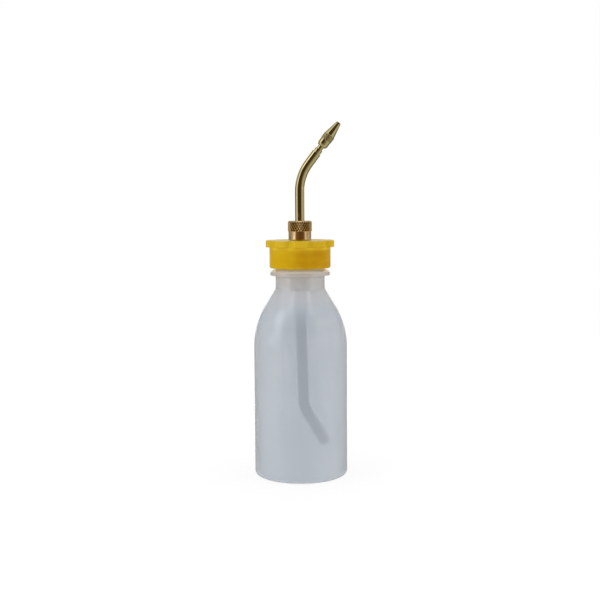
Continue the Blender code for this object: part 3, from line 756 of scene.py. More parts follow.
def yellow_plastic(colours, bore, bottom_z, flange_z, top_z):
    """Moulded plastic, polished on its flat top, its skirt painted deeper in colour than the flange as
    painted shade.

    The skirt is painted deepest along a line on the +X side and paler towards -X, as painted shade and
    painted key light from the left, and paler towards its lower edge. A painted glow on the inside of its lip
    stands in for the light that comes through it there.
    """
    values = {"Subsurface Scale": 0.5 * MM, "Subsurface Weight": 0.15, "Specular IOR Level": 0.1}
    made, board, inputs = finish("yellow_plastic", values)
    place = board.object_place()
    spots = board.spots(place, 80.0, 2600.0)
    parts = board.parts(place)
    height_up = parts["Z"]
    flat = board.node("ShaderNodeMapping", {"Vector": place, "Scale": (0.12, 0.12, 1.0)}).outputs[0]
    streaks = board.spots(flat, 520.0, 2600.0)["Patches"]
    # The skirt is painted deepest along this line and paler away from it, most towards -X: painted shade and
    # painted key light from the left.
    shade_line_x = 0.4 * bore
    off_shade_line = board.math("ABSOLUTE", board.math("SUBTRACT", parts["X"], shade_line_x))
    paler = board.ranged(off_shade_line, 0.0, shade_line_x + bore)
    paler = board.math("ADD", paler, board.ranged(spots["Patches"], 0.3, 0.7, -0.2, 0.2))
    # Paler towards the skirt's lower edge
    at_edge = board.ranged(height_up, bottom_z + 1.8 * MM, bottom_z + 0.3 * MM, 0.0, 0.5)
    paler = board.math("ADD", paler, at_edge)
    paler = board.math("ADD", paler, board.ranged(streaks, 0.3, 0.7, -0.15, 0.15), clamp=True)
    low_skin = board.mix(paler, colour(colours.cap_deep), colour(colours.cap_pale))
    # The skirt is painted deeper than the flange: painted shade under the flange.
    on_flange = board.ranged(height_up, flange_z - 4 * MM, flange_z + 1 * MM, 0.0, 0.8)
    tone = board.math("ADD", on_flange, board.ranged(spots["Patches"], 0.3, 0.7, -0.1, 0.2), clamp=True)
    skin = board.mix(tone, low_skin, colour(colours.cap))
    # Just under the flange the skirt is painted lighter: painted light that fills the shade under the flange
    rising = board.ranged(height_up, flange_z - 1.8 * MM, flange_z - 0.3 * MM)
    past = board.ranged(height_up, flange_z - 0.02 * MM, flange_z + 0.02 * MM)
    painted_light_under_flange = board.math("SUBTRACT", rising, past)
    board.fill(inputs["Base Color"], board.mix(painted_light_under_flange, skin, scaled(colours.cap, 1.18)))
    # A painted glow: inside the lip the plastic emits light, standing in for light that comes through.
    within = board.ranged(board.radius(parts), bore + 0.5 * MM, bore + 0.4 * MM)
    at_lip = board.math("MULTIPLY", within, board.ranged(height_up, bottom_z + 3 * MM, bottom_z + 1 * MM))
    board.fill(inputs["Emission Color"], board.mix(at_lip, BLACK, colour(colours.cap_glow)))
    inputs["Emission Strength"].default_value = 1.0
    made.cycles.emission_sampling = "NONE"
    worn = board.ranged(board.smears(place, 120.0), 0.0, 1.0, 0.28, 0.36)
    polished = board.ranged(height_up, top_z - 0.2 * MM, top_z - 0.02 * MM, 0.0, 0.16)
    board.fill(inputs["Roughness"], board.math("SUBTRACT", worn, polished))
    board.fill(inputs["Normal"], board.bump(spots["Grain"], 0.02 * MM, 0.7))
    return made


def drawn_brass(colours):
    """The polished tube: fine lines along it and faint dull patches."""
    made, board, inputs = finish("drawn_brass", {"Metallic": 1.0})
    place = board.object_place()
    long = board.node("ShaderNodeMapping", {"Vector": place, "Scale": (1.0, 1.0, 0.04)}).outputs[0]
    lines = board.spots(long, 500.0, 5000.0)
    smears = board.smears(place, 180.0)
    dull = board.math("MULTIPLY", smears, 0.12)
    board.fill(inputs["Base Color"], board.mix(dull, colour(colours.tube), colour(colours.tarnish)))
    board.fill(inputs["Roughness"], board.ranged(smears, 0.0, 1.0, 0.05, 0.1))
    board.fill(inputs["Normal"], board.bump(lines["Grain"], 0.002 * MM, 0.5))
    return made


def turned_brass(
    name, base, colours, centre=(0.0, 0.0, 0.0), tilt=0.0, grooves=None, dirty=None, rough=(0.07, 0.13)
):
    """Brass off the lathe, with rings round the axis through the centre.

    The grooves (low radius, high radius, bottom, top, groove shade) name a duller knurled band, painted
    darker down in its grooves as painted shade with some oil and dirt. Above the height named dirty, oil has
    darkened the metal.
    """
    made, board, inputs = finish(name, {"Metallic": 1.0})
    place = board.object_place()
    axis = board.node("ShaderNodeMapping", {"Vector": place, "Location": centre}, vector_type="TEXTURE")
    axis.inputs["Rotation"].default_value = (0.0, tilt, 0.0)
    marks = board.use(lathe_marks(), {"Vector": axis.outputs[0], "Scale": 5200.0})
    smears = board.smears(place, 240.0)
    metal = board.mix(board.math("MULTIPLY", smears, 0.26), colour(base), colour(colours.tarnish))
    roughness = board.ranged(smears, 0.0, 1.0, *rough)
    along = board.parts(axis.outputs[0])["Z"]
    if grooves:
        low, high, bottom, top, groove_shade_and_dirt = grooves
        deep = board.ranged(marks["Radius"], high, low)
        above = board.ranged(along, bottom - 0.1 * MM, bottom)
        below = board.ranged(along, top + 0.1 * MM, top)
        on_band = board.math("MULTIPLY", above, below)
        metal = board.mix(board.math("MULTIPLY", on_band, 0.25), metal, colour(colours.tarnish))
        # Painted shade, with some oil and dirt, darkens the bottom of the grooves.
        groove_shaded = board.math("MULTIPLY", board.math("MULTIPLY", deep, on_band), groove_shade_and_dirt)
        metal = board.mix(groove_shaded, metal, colour(colours.groove_shade_and_dirt))
        roughness = board.math("ADD", roughness, board.math("MULTIPLY", on_band, 0.22))
    if dirty:
        soot = board.ranged(along, dirty - 0.35 * MM, dirty + 0.1 * MM, 0.0, 0.85)
        metal = board.mix(soot, metal, colour(colours.groove_shade_and_dirt))
    board.fill(inputs["Base Color"], metal)
    board.fill(inputs["Roughness"], roughness)
    board.fill(inputs["Normal"], board.bump(marks["Rings"], 0.0015 * MM, 0.6))
    return made


def natural_tubing(colours):
    """Milky tubing, painted paler near its lower end as painted light."""
    made, board, inputs = finish("natural_tubing", {"Alpha": colours.dip_cover, "IOR": 1.5})
    place = board.object_place()
    spots = board.spots(place, 90.0, 2400.0)
    skin = board.mix(spots["Patches"], colour(colours.dip), scaled(colours.dip, 1.1))
    # Painted light: paler towards the tube's lower end
    near_end = board.ranged(board.parts(place)["Z"], 32 * MM, 18 * MM)
    board.fill(inputs["Base Color"], board.mix(near_end, skin, colour(colours.dip_foot)))
    board.fill(inputs["Roughness"], board.ranged(board.smears(place, 150.0), 0.0, 1.0, 0.35, 0.5))
    board.fill(inputs["Normal"], board.bump(spots["Grain"], 0.02 * MM, 0.5))
    return made


def closed_cell_foam(colours):
    """Pale foam with small round cells cut open on its faces."""
    made, board, inputs = finish("closed_cell_foam", {"Specular IOR Level": 0.3})
    place = board.object_place()
    cells = board.node("ShaderNodeTexVoronoi", {"Vector": place, "Scale": 2600.0}).outputs["Distance"]
    spots = board.spots(place, 160.0, 3000.0)
    skin = board.mix(board.ranged(cells, 0.2, 0.6), scaled(colours.foam, 0.8), colour(colours.foam))
    board.fill(inputs["Base Color"], skin)
    board.fill(inputs["Roughness"], board.ranged(spots["Patches"], 0.3, 0.7, 0.75, 0.9))
    board.fill(inputs["Normal"], board.bump(cells, 0.08 * MM, 0.8))
    return made


def black_rubber(colours):
    """Matt rubber with a slightly worn skin."""
    made, board, inputs = finish("black_rubber", {"Specular IOR Level": 0.4})
    place = board.object_place()
    spots = board.spots(place, 300.0, 4200.0)
    skin = board.mix(spots["Patches"], colour(colours.rubber), scaled(colours.rubber, 2.2))
    board.fill(inputs["Base Color"], skin)
    board.fill(inputs["Roughness"], board.ranged(spots["Patches"], 0.3, 0.7, 0.5, 0.7))
    board.fill(inputs["Normal"], board.bump(spots["Grain"], 0.03 * MM, 0.7))
    return made


def cone_radius(size):
    """The radius at which the shoulder's curve ends."""
    return size.radius - size.shoulder + size.shoulder * math.cos(size.shoulder_turn)


def outside_ring(size):
    """The height of the ring's underside."""
    angle = size.shoulder_turn
    curve_top = size.straight + size.shoulder * math.sin(angle)
    return curve_top + (cone_radius(size) - size.neck) / math.tan(angle) + size.neck_length


def bottle_corners(size):
    """The corners of half the bottle's section, outside then inside, and how many are outside."""
    angle = size.shoulder_turn
    centre_r = size.radius - size.shoulder
    ring_z = outside_ring(size)
    neck_z = ring_z - size.neck_length
    ring_top = ring_z + size.ring_edge + size.ring_slope
    foot_r = size.radius - size.corner - size.foot
    base_r = foot_r - size.push_up_slope
    bore_r = size.neck - size.neck_wall
    inner_r = size.radius - size.wall
    inner_curve = size.shoulder - size.wall
    inner_cone_r = centre_r + inner_curve * math.cos(angle)
    inner_cone_z = size.straight + inner_curve * math.sin(angle)
    bore_z = inner_cone_z + (inner_cone_r - bore_r) / math.tan(angle)
    fillet = size.shoulder_fillet * math.tan(angle / 2)
    outside = [
        (0.0, size.push_up, 0.0),
        (base_r, size.push_up, size.push_up),
        (foot_r, 0.0, size.round),
        (size.radius, 0.0, size.corner),
        *arc(centre_r, size.straight, size.shoulder, 0.0, angle, OUTER_SHOULDER_STEPS),
        (size.neck, neck_z, fillet),
        (size.neck, ring_z, size.round),
        (size.neck + size.ring, ring_z, 0.6 * size.round),
        (size.neck + size.ring, ring_z + size.ring_edge, 2.2 * size.round),
        (size.neck, ring_top, size.round),
        (size.neck, size.rim, size.round),
        (bore_r, size.rim, size.round),
    ]
    inside = [
        (bore_r, bore_z, fillet),
        *arc(centre_r, size.straight, inner_curve, angle, 0.0, INNER_SHOULDER_STEPS),
        (inner_r, size.floor, size.corner - size.wall),
        (foot_r, size.floor, size.round),
        (base_r, size.push_up + size.floor, size.push_up),
        (0.0, size.push_up + size.floor, 0.0),
    ]
    return outside, inside


def lobe_share(angle, size):
    """How far out the flange reaches at an angle: 0 in the gaps, 1 on the lobes. One lobe faces -Y."""
    spacing = math.tau / size.lobes
    from_gap = abs((angle + math.pi / 2) % spacing - spacing / 2)
    part = min(max((from_gap - size.lobe_gap) / size.lobe_flank, 0.0), 1.0)
    return part * part * (3 - 2 * part)


class OIL_CAN_OT_bottle(bpy.types.Operator):
    """Models the blown bottle with its threaded neck"""

    bl_idname = "oil_can.bottle"
    bl_label = "Bottle"

    def execute(self, context):
        settings = context.scene.oil_can
        size, thread, colours = settings.bottle, settings.thread, settings.colours
        outside, inside = bottle_corners(size)
        marked = range(len(outside), len(outside) + len(inside))
        bm = turned(outside + inside, size.columns, marked)
        layer = bm.verts.layers.float["inside"]
        for face in bm.faces:
            if all(vert[layer] > 0.5 for vert in face.verts):
                face.material_index = 1
        ridge = coarse_ridge(thread, size.neck - thread.sink, size.neck + thread.depth, thread.neck_turns)
        low = size.rim - thread.drop - thread.neck_turns * thread.pitch
        ring_z = outside_ring(size)
        ring_top = ring_z + size.ring_edge
        levels = {
            "hiding": (size.straight + 9 * MM, size.straight + 28 * MM),
            "warm": (size.straight + 17 * MM, size.straight + 36 * MM),
            # The neck under the ring and the ring's top are painted lighter: painted light.
            "painted light under ring": (ring_z - 3.5 * MM, ring_z - 0.3 * MM),
            "ring": (ring_z - 0.1 * MM, ring_z + 0.1 * MM),
            "painted light on ring top": (ring_top - 0.5 * MM, ring_top + 0.3 * MM),
        }
        skins = [
            milky_plastic("milky_plastic_" + side, colours, cover, neck_cover, levels)
            for side, cover, neck_cover in (
                ("outside", colours.bottle_outside, colours.neck_outside),
                ("inside", colours.bottle_inside, colours.neck_inside),
            )
        ]
        piece("bottle_shell", united(bm, ridge, low), skins, "bottle", "bottle")
        return {"FINISHED"}


class OIL_CAN_OT_cap(bpy.types.Operator):
    """Models the yellow screw cap with its lobes, its thread and the bead that keeps the disc"""

    bl_idname = "oil_can.cap"
    bl_label = "Screw cap"

    def execute(self, context):
        settings = context.scene.oil_can
        size, thread, bottle = settings.cap, settings.thread, settings.bottle
        bore = bottle.neck + thread.depth + thread.clearance
        skirt = bore + size.skirt_wall
        flange_z = size.top - size.flange_height
        plate_z = size.top - size.plate
        bead_top = bottle.rim
        bm = turned(
            [
                (size.hole, plate_z, 0.0),
                (size.hole, size.top, 0.5 * size.round),
                (size.flange, size.top, 1.4 * size.round),
                (size.flange, flange_z, size.round),
                (skirt, flange_z, 0.6 * size.round),
                (skirt, size.bottom, size.skirt_round),
                (bore, size.bottom, 0.5 * size.round),
                (bore, bead_top - 2 * size.bead_height, 0.0),
                (bore - size.bead, bead_top - size.bead_height, 0.0),
                (bore - size.bead, bead_top, 0.0),
                (bore, bead_top, 0.0),
                (bore, plate_z, 0.0),
            ],
            size.columns * size.lobes,
        )
        root = skirt + size.lobe_root
        for vert in bm.verts:
            radius = vert.co.xy.length
            if radius > root and vert.co.z > flange_z - size.round:
                share_out = lobe_share(math.atan2(vert.co.y, vert.co.x), size)
                vert.co.xy *= (root + (radius - root) * share_out) / radius
        ridge = coarse_ridge(thread, bore + thread.sink, bottle.neck + thread.clearance, thread.cap_turns)
        # Half a pitch up, the cap's ridge runs midway between two turns of the bottle's.
        low = bottle.rim - thread.drop - (thread.neck_turns - 0.5) * thread.pitch
        finishes = [yellow_plastic(settings.colours, bore, size.bottom, flange_z, size.top)]
        piece("cap_shell", united(bm, ridge, low), finishes, "head", "screw_cap")
        return {"FINISHED"}


class OIL_CAN_OT_nut(bpy.types.Operator):
    """Models the gland nut with its crossed knurls"""

    bl_idname = "oil_can.nut"
    bl_label = "Knurled nut"

    def execute(self, context):
        settings = context.scene.oil_can
        size, colours = settings.nut, settings.colours
        plain_r = size.knurl_radius - size.proud
        low = size.bottom + size.plain
        rows = round((size.top - size.chamfer - low) / size.knurl_row)
        row_height = (size.top - size.chamfer - low) / rows
        levels = rows * size.steps // 2
        bm = turned(
            [
                (size.bore, size.bottom, 2 * size.round),
                (size.bore, size.top - size.lip, 0.0),
                (size.hole, size.top - size.lip, 0.0),
                (size.hole, size.top, size.round),
                (size.knurl_radius - size.chamfer, size.top, 0.0),
                *reversed(rows_of(size.knurl_radius, low, low + rows * row_height, levels)),
                (plain_r, low - size.proud, 0.0),
                (plain_r, size.bottom, size.round),
            ],
            size.knurls * size.steps,
        )
        knurled(bm, size.knurl_radius, low, row_height, rows, size.knurls, size.knurl_depth)
        root = size.knurl_radius - size.knurl_depth
        grooves = (root, root + GROOVE_SHADE_REACH * size.knurl_depth, low, size.top - size.chamfer, NUT_GROOVE_SHADE)
        brass = turned_brass("nut_brass", colours.nut, colours, grooves=grooves)
        piece("nut_body", bm, [brass], "nut", "knurled_nut")
        return {"FINISHED"}


def spout_run(size):
    """The unit vector along the spout's end."""
    return Vector((math.sin(size.bend_turn), 0.0, math.cos(size.bend_turn)))


class OIL_CAN_OT_spout(bpy.types.Operator):
    """Models the bent spout tube with the collar at its foot"""

    bl_idname = "oil_can.spout"
    bl_label = "Spout"

    def execute(self, context):
        settings = context.scene.oil_can
        size = settings.spout
        bore = size.radius - size.wall
        bend_z = size.bottom + size.straight
        collar_z = size.bottom + size.collar_height
        collar_r = size.radius + size.collar
        bm = turned(
            [
                (bore, size.bottom, size.round),
                (bore, bend_z, 0.0),
                (size.radius, bend_z, 0.0),
                (size.radius, collar_z, 0.0),
                (collar_r, collar_z, size.round),
                (collar_r, size.bottom, size.round),
            ],
            size.columns,
        )
        end = bent(bm, faces_at(bm, bend_z), (size.bend, 0.0, bend_z), size.bend_turn, size.bend_steps)
        eased(bm, drawn(bm, end, spout_run(size) * size.end), size.round)
        brass = drawn_brass(settings.colours)
        piece("spout_pipe", bm, [brass], "spout", "spout_tube")
        return {"FINISHED"}


def on_nozzle_axis(bm):
    """Moves a body from its own upright axis onto the nozzle's, with its zero at the tube's end."""
    hinge = joint("nozzle_turn")
    tilt = Vector((0, 0, 1)).rotation_difference(Vector(hinge["axis"])).to_matrix()
    bmesh.ops.rotate(bm, verts=bm.verts, matrix=tilt)
    bmesh.ops.translate(bm, verts=bm.verts, vec=hinge["pos_m"])
    return bm


class OIL_CAN_OT_nozzle(bpy.types.Operator):
    """Models the stem in the spout's end and the adjustable tip on it"""

    bl_idname = "oil_can.nozzle"
    bl_label = "Nozzle"

    def execute(self, context):
        settings = context.scene.oil_can
        size, colours = settings.nozzle, settings.colours
        hinge = joint("nozzle_turn")
        at_end = {"centre": hinge["pos_m"], "tilt": settings.spout.bend_turn, "rough": (0.1, 0.16)}
        shoulder = size.seat + size.shoulder
        foot = shoulder + size.neck
        stem_end = foot + size.thread
        stem = turned(
            [
                (size.stem_bore, -size.plug, 0.0),
                (size.plug_radius, -size.plug, size.round),
                (size.plug_radius, size.seat, 0.0),
                (size.shoulder_radius, size.seat, 0.5 * size.round),
                (size.shoulder_radius, shoulder, size.stem_break),
                (size.neck_radius, shoulder, size.round),
                (size.neck_radius, stem_end, size.stem_break),
                (size.stem_bore, stem_end, 0.0),
            ],
            settings.spout.columns,
        )
        brass = turned_brass("stem_brass", colours.tube, colours, **at_end)
        piece("stem_body", on_nozzle_axis(stem), [brass], "spout", "nozzle_stem")

        socket = size.neck_radius + size.clearance
        foot_lip = 0.15 * MM
        knurl_r = size.radius + size.knurl_proud
        low = foot + size.foot_round + size.plain
        high = low + size.knurl_rows * size.knurl_row
        cone_low = high + size.step
        cone_end = cone_low + size.cone
        socket_end = stem_end + size.run_out
        levels = size.knurl_rows * size.steps // 2
        tip = turned(
            [
                (socket, foot, size.round),
                *domed(socket + foot_lip, size.radius, foot, foot + size.foot_round),
                (size.radius, low - size.knurl_proud, 0.0),
                *rows_of(knurl_r, low, high, levels),
                (size.radius, cone_low, size.round),
                (size.end_radius, cone_end + size.end_round, size.end_round),
                (size.orifice, cone_end + size.end_round, size.round),
                (size.orifice, socket_end + socket - size.orifice, 0.0),
                (socket, socket_end, 0.0),
            ],
            size.knurls * size.steps,
        )
        knurled(tip, knurl_r, low, size.knurl_row, size.knurl_rows, size.knurls, size.knurl_depth)
        root = knurl_r - size.knurl_depth
        grooves = (root, root + GROOVE_SHADE_REACH * size.knurl_depth, low, high, TIP_GROOVE_SHADE)
        brass = turned_brass("tip_brass", colours.tube, colours, grooves=grooves, dirty=cone_end, **at_end)
        piece("tip_body", on_nozzle_axis(tip), [brass], "nozzle", "nozzle_tip")
        return {"FINISHED"}


def tilted(angle):
    """Unit vectors along and across a tube that runs down and leans towards +X by an angle."""
    sine, cosine = math.sin(angle), math.cos(angle)
    return Vector((sine, 0.0, -cosine)), Vector((cosine, 0.0, sine))


def dip_pipe(size):
    """The tube from the barrel's socket, which leans a little and bends aside at its foot."""
    bore = size.dip - size.dip_wall
    leaning, across = tilted(size.dip_lean)
    along, end_across = tilted(size.dip_turn)
    low = Vector((0.0, 0.0, size.bottom - size.dip_slack))
    # The straight run takes up what the bends and the end leave of the height.
    end_z = size.dip_bottom + size.dip * end_across.z
    bends = size.dip_lean_radius * across.z + size.dip_bend * (end_across.z - across.z)
    run = (low.z - end_z - bends + size.dip_end * along.z) / -leaning.z
    tube = turned(
        [
            (bore, size.dip_top, 0.5 * size.round),
            (size.dip, size.dip_top, 0.5 * size.round),
            (size.dip, low.z, 0.0),
            (bore, low.z, 0.0),
        ],
        size.columns,
    )
    pivot = low + Vector((size.dip_lean_radius, 0.0, 0.0))
    leant = bent(tube, faces_at(tube, low.z), pivot, -size.dip_lean, 2)
    straight = drawn(tube, leant, leaning * run)
    elbow = pivot - across * size.dip_lean_radius + leaning * run
    turned_by = size.dip_lean - size.dip_turn
    foot = bent(tube, straight, elbow + across * size.dip_bend, turned_by, size.bend_steps)
    eased(tube, drawn(tube, foot, along * size.dip_end), 0.5 * size.round)
    return tube


class OIL_CAN_OT_inside(bpy.types.Operator):
    """Models the brass fitting and the dip tube, and finishes the disc and the seal"""

    bl_idname = "oil_can.inside"
    bl_label = "Inner pieces"

    def execute(self, context):
        settings = context.scene.oil_can
        size, colours = settings.inside, settings.colours
        shank_core = size.shank - size.thread_depth
        clamp_low = size.clamp_top - size.clamp
        socket_top = size.bottom + size.socket_depth
        fitting = turned(
            [
                (size.oil_bore, size.top, size.round),
                (shank_core, size.top, size.round),
                (shank_core, size.clamp_top, 0.0),
                (size.clamp_radius, size.clamp_top, size.round),
                (size.clamp_radius, clamp_low, size.round),
                (size.barrel, clamp_low, size.round),
                (size.barrel, size.bottom, size.round),
                (size.socket, size.bottom, size.round),
                (size.socket, socket_top, 0.0),
                (size.oil_bore, socket_top + size.socket - size.oil_bore, 0.0),
            ],
            size.columns,
        )
        thread_low = size.clamp_top + size.pitch
        turns = (size.top - thread_low - size.pitch / 2) / size.pitch
        sunk = shank_core - size.thread_depth
        crest = 0.12 * size.pitch
        ridge = helix(sunk, size.shank, size.pitch, crest, size.pitch, turns, size.columns, 0.0)
        brass = turned_brass("fitting_brass", colours.nut, colours)
        piece("fitting_body", united(fitting, ridge, thread_low), [brass], "head", "nipple")

        piece("dip_pipe", dip_pipe(size), [natural_tubing(colours)], "head", "dip_tube")

        for node, finished in (("sealing_disc", closed_cell_foam), ("gland_seal", black_rubber)):
            slots = frame["nodes"][node].data.materials
            slots.clear()
            slots.append(finished(colours))
        return {"FINISHED"}


def ring_of(board, around, stops):
    """Colours round the horizon: 0 and 1 are behind the camera, 0.25 at the left, 0.5 behind the object."""
    ramp = board.node("ShaderNodeValToRGB", {"Fac": around})
    elements = ramp.color_ramp.elements
    while len(elements) < len(stops):
        elements.new(0.5)
    for element, (position, shade) in zip(elements, stops):
        element.position = position
        element.color = colour(shade)
    return ramp.outputs["Color"]


def studio_world(fill):
    """White behind everything, even light on the object, and rings of dark and light for its reflections."""
    world = bpy.data.worlds.new("studio")
    world.use_nodes = True
    # The reflections differ from the even light, so only the rays that reach the world may read it.
    world.cycles.sampling_method = "NONE"
    board = Board(world.node_tree)
    place = board.node("ShaderNodeTexCoord").outputs["Generated"]
    parts = board.parts(place)
    around = board.math("MULTIPLY_ADD", board.math("ARCTAN2", parts["X"], parts["Y"]), 1 / math.tau)
    board.fill(around.node.inputs[2], 0.5)
    room = (0.06, 0.039, 0.023)
    warm_room = (0.15, 0.075, 0.023)
    window = (1.6, 1.6, 1.53)
    pale_window = (0.95, 0.95, 1.0)
    high_window = (1.15, 1.16, 1.22)
    upper_window = (1.55, 1.55, 1.6)
    card = (0.5, 0.48, 0.43)
    wall = (0.26, 0.25, 0.22)
    left_wall = (0.5, 0.49, 0.46)
    back_left = (0.42, 0.41, 0.37)
    back_right = (0.4, 0.39, 0.35)
    right_wall = (0.5, 0.49, 0.45)
    side_lights = (1.05, 1.05, 1.0)
    steep_lights = (0.98, 0.98, 0.95)
    white = (1.0, 1.0, 1.0)
    # At eye level, for the upright part of the spout
    eye = [
        (0.0, room),
        (0.133, room),
        (0.153, (0.3, 0.29, 0.27)),
        (0.176, pale_window),
        (0.238, pale_window),
        (0.27, (0.38, 0.37, 0.36)),
        (0.3, (0.18, 0.175, 0.16)),
        (0.43, (0.16, 0.155, 0.14)),
        (0.45, white),
        (0.485, white),
        (0.49, card),
        (0.51, card),
        (0.515, white),
        (0.55, white),
        (0.57, wall),
        (0.65, (0.36, 0.34, 0.31)),
        (0.7, (0.5, 0.48, 0.45)),
        (0.745, (0.54, 0.5, 0.5)),
        (0.84, (0.55, 0.52, 0.5)),
        (0.878, (0.48, 0.46, 0.44)),
        (0.895, room),
        (1.0, room),
    ]
    # A little lower, for the nut, the cap and the bottle's neck
    level = [
        (0.0, warm_room),
        (0.044, (0.175, 0.094, 0.032)),
        (0.072, (0.22, 0.137, 0.054)),
        (0.112, (0.264, 0.19, 0.083)),
        (0.123, (0.38, 0.31, 0.2)),
        (0.146, window),
        (0.17, window),
        (0.197, (0.8, 0.8, 0.76)),
        (0.227, (0.47, 0.46, 0.41)),
        (0.265, (0.41, 0.4, 0.37)),
        (0.31, (0.38, 0.37, 0.34)),
        (0.42, (0.31, 0.3, 0.27)),
        (0.445, white),
        (0.555, white),
        (0.58, (0.3, 0.29, 0.26)),
        (0.65, (0.36, 0.35, 0.32)),
        (0.7, (0.54, 0.52, 0.46)),
        (0.745, (0.6, 0.57, 0.5)),
        (0.78, (0.48, 0.46, 0.41)),
        (0.815, (0.68, 0.66, 0.6)),
        (0.832, (0.9, 0.88, 0.84)),
        (0.85, (0.9, 0.88, 0.83)),
        (0.867, (0.26, 0.19, 0.1)),
        (0.905, (0.187, 0.106, 0.041)),
        (0.95, warm_room),
        (1.0, warm_room),
    ]
    # A little higher, for the start of the bend and the bottle's shoulder
    high = [
        (0.0, room),
        (0.144, room),
        (0.16, high_window),
        (0.2, high_window),
        (0.23, left_wall),
        (0.43, back_left),
        (0.445, white),
        (0.555, white),
        (0.57, back_right),
        (0.7, right_wall),
        (0.81, (0.55, 0.53, 0.49)),
        (0.838, side_lights),
        (0.866, side_lights),
        (0.88, room),
        (1.0, room),
    ]
    # Higher still, for the rest of the bend and the shoulder
    upper = [
        (0.0, room),
        (0.134, room),
        (0.15, upper_window),
        (0.205, upper_window),
        (0.25, (0.6, 0.59, 0.56)),
        (0.3, (0.34, 0.33, 0.3)),
        (0.43, wall),
        (0.445, white),
        (0.555, white),
        (0.57, back_right),
        (0.7, right_wall),
        (0.86, (0.6, 0.58, 0.54)),
        (0.88, room),
        (1.0, room),
    ]
    # The highest, for the nozzle's cone and the top of the shoulder
    steep = [
        (0.0, room),
        (0.076, room),
        (0.096, high_window),
        (0.14, high_window),
        (0.17, left_wall),
        (0.43, back_left),
        (0.445, white),
        (0.555, white),
        (0.57, back_right),
        (0.7, right_wall),
        (0.835, (0.48, 0.46, 0.43)),
        (0.863, steep_lights),
        (0.888, steep_lights),
        (0.908, room),
        (1.0, room),
    ]
    under_camera = colour((0.2, 0.19, 0.16))
    near_ground = colour((0.53, 0.53, 0.465))
    far_ground = colour((0.22, 0.21, 0.18))
    overhead = colour((0.88, 0.88, 0.88))
    mirrored = board.mix(board.ranged(parts["Y"], -1.0, -0.55), under_camera, near_ground)
    mirrored = board.mix(board.ranged(parts["Y"], -0.1, 0.4), mirrored, far_ground)
    # Each ring takes over from the one below it as a reflection's direction rises from start to end.
    for start, end, stops in (
        (-0.11, -0.06, level),
        (-0.026, -0.018, eye),
        (0.06, 0.2, high),
        (0.42, 0.5, upper),
        (0.67, 0.72, steep),
    ):
        mirrored = board.mix(board.ranged(parts["Z"], start, end), mirrored, ring_of(board, around, stops))
    mirrored = board.mix(board.ranged(parts["Z"], 0.8, 0.9), mirrored, overhead)
    rays, seen = board.rays()
    lit, reflected, backdrop = (
        board.node("ShaderNodeBackground", {"Color": light, "Strength": strength}).outputs[0]
        for light, strength in ((WHITE, fill), (mirrored, 1.0), (WHITE, 1.0))
    )
    unseen = board.blend(rays["Is Glossy Ray"], lit, reflected)
    output = board.node("ShaderNodeOutputWorld")
    board.fill(output.inputs["Surface"], board.blend(seen, unseen, backdrop))
    return world


def pale_floor(radius, fill):
    """A white floor that fades into the background, and keeps the shadow close to the object."""
    bm = bmesh.new()
    bmesh.ops.create_circle(bm, cap_ends=True, segments=96, radius=radius)
    bmesh.ops.translate(bm, verts=bm.verts, vec=(0.0, 0.0, -FLOOR_GAP))
    floor = bare_object("floor", bm)
    made, board, inputs = finish("pale_floor", {"Roughness": 0.9, "Specular IOR Level": 0.1})
    made.cycles.emission_sampling = "NONE"
    inputs["Base Color"].default_value = (0.8, 0.8, 0.8, 1.0)
    away = board.length(board.object_place())
    bare = board.ranged(away, SHADOW_RADIUS, 0.25 * radius, 0.8, 1.0)
    rays, seen = board.rays()
    # A little over 1, which makes up for the share of the floor that is shaded
    white, bounced = (
        board.node("ShaderNodeEmission", {"Color": WHITE, "Strength": strength}).outputs[0]
        for strength in (1.06, fill)
    )
    surface = board.tree.nodes["Material Output"].inputs["Surface"]
    shaded = surface.links[0].from_socket
    # Most of the light that the object gets from below is even, as if the floor had no shadow.
    evened = board.blend(board.math("MULTIPLY", rays["Is Diffuse Ray"], EVEN_BOUNCE), shaded, bounced)
    board.fill(surface, board.blend(board.math("MULTIPLY", seen, bare), evened, white))
    floor.data.materials.append(made)
    # The world's ring also gives the reflections from below.
    floor.visible_glossy = False


def soft_lamp(name, azimuth, elevation, width, height, watts):
    """An area lamp at an azimuth from the camera's side, positive to the right, aimed at the object."""
    lamp = bpy.data.lights.new(name, "AREA")
    lamp.shape = "RECTANGLE"
    lamp.size = width
    lamp.size_y = height
    lamp.energy = watts
    holder = bpy.data.objects.new(name, lamp)
    level = math.cos(elevation)
    away = Vector((math.sin(azimuth) * level, -math.cos(azimuth) * level, math.sin(elevation)))
    holder.location = LAMP_TARGET + away * LAMP_DISTANCE
    holder.rotation_euler = away.to_track_quat("Z", "Y").to_euler()
    # The world's ring gives the reflections.
    holder.visible_glossy = False
    bpy.context.scene.collection.objects.link(holder)


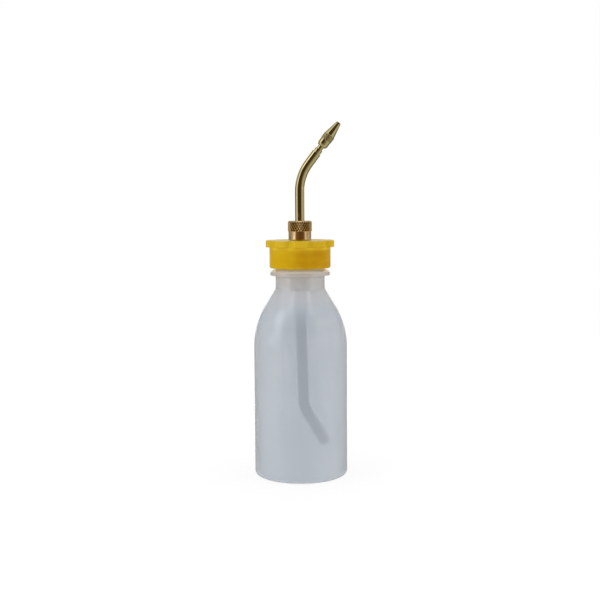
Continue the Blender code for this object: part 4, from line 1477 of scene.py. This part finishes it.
class OIL_CAN_OT_stage(bpy.types.Operator):
    """Adds the floor, the soft light and the camera"""

    bl_idname = "oil_can.stage"
    bl_label = "Stage"

    def execute(self, context):
        size = context.scene.oil_can.stage
        scene = context.scene
        scene.world = studio_world(size.fill)
        pale_floor(size.floor, size.fill)
        for name, azimuth, elevation, width, height, watts in (
            ("key_lamp", -64, 25, 0.45, 0.6, size.key),
            ("side_lamp", 78, 20, 0.6, 0.6, size.side),
            ("top_lamp", 180, 75, 0.6, 0.5, size.overhead),
        ):
            soft_lamp(name, math.radians(azimuth), math.radians(elevation), width, height, watts)

        camera = bpy.data.cameras.new("camera")
        camera.lens = size.lens
        camera.sensor_width = SENSOR_WIDTH
        camera.clip_start = 0.01
        holder = bpy.data.objects.new("camera", camera)
        look = Matrix.Rotation(math.pi / 2 - size.pitch, 4, "X") @ Matrix.Rotation(size.roll, 4, "Z")
        holder.matrix_world = Matrix.Translation((size.aside, -size.distance, size.height)) @ look
        scene.collection.objects.link(holder)
        scene.camera = holder
        scene.view_settings.view_transform = "Standard"
        return {"FINISHED"}


class OIL_CAN_PT_panel(bpy.types.Panel):
    """Lists the oil can's operators and settings in the sidebar."""

    bl_idname = "OIL_CAN_PT_panel"
    bl_label = "Oil Can"
    bl_space_type = "VIEW_3D"
    bl_region_type = "UI"
    bl_category = "Oil Can"

    def draw(self, context):
        settings = context.scene.oil_can
        for operator in OPERATORS:
            self.layout.operator(operator.bl_idname)
        for part in settings.bl_rna.properties:
            if part.type != "POINTER" or part.identifier == "rna_type":
                continue
            box = self.layout.box()
            box.label(text=part.identifier.capitalize())
            group_of = getattr(settings, part.identifier)
            for item in group_of.bl_rna.properties:
                if item.identifier not in {"rna_type", "name"}:
                    box.prop(group_of, item.identifier)


OPERATORS = (
    OIL_CAN_OT_bottle,
    OIL_CAN_OT_cap,
    OIL_CAN_OT_inside,
    OIL_CAN_OT_nut,
    OIL_CAN_OT_spout,
    OIL_CAN_OT_nozzle,
    OIL_CAN_OT_stage,
)
CLASSES = (
    OilCanBottle,
    OilCanThread,
    OilCanCap,
    OilCanNut,
    OilCanSpout,
    OilCanNozzle,
    OilCanInside,
    OilCanColours,
    OilCanStage,
    OilCan,
    *OPERATORS,
    OIL_CAN_PT_panel,
)


def register():
    for item in CLASSES:
        bpy.utils.register_class(item)
    bpy.types.Scene.oil_can = PointerProperty(type=OilCan)


def unregister():
    del bpy.types.Scene.oil_can
    for item in reversed(CLASSES):
        bpy.utils.unregister_class(item)


def main():
    register()
    bpy.ops.oil_can.bottle()
    bpy.ops.oil_can.cap()
    bpy.ops.oil_can.inside()
    bpy.ops.oil_can.nut()
    bpy.ops.oil_can.spout()
    bpy.ops.oil_can.nozzle()
    bpy.ops.oil_can.stage()


if __name__ == "__main__":
    main()
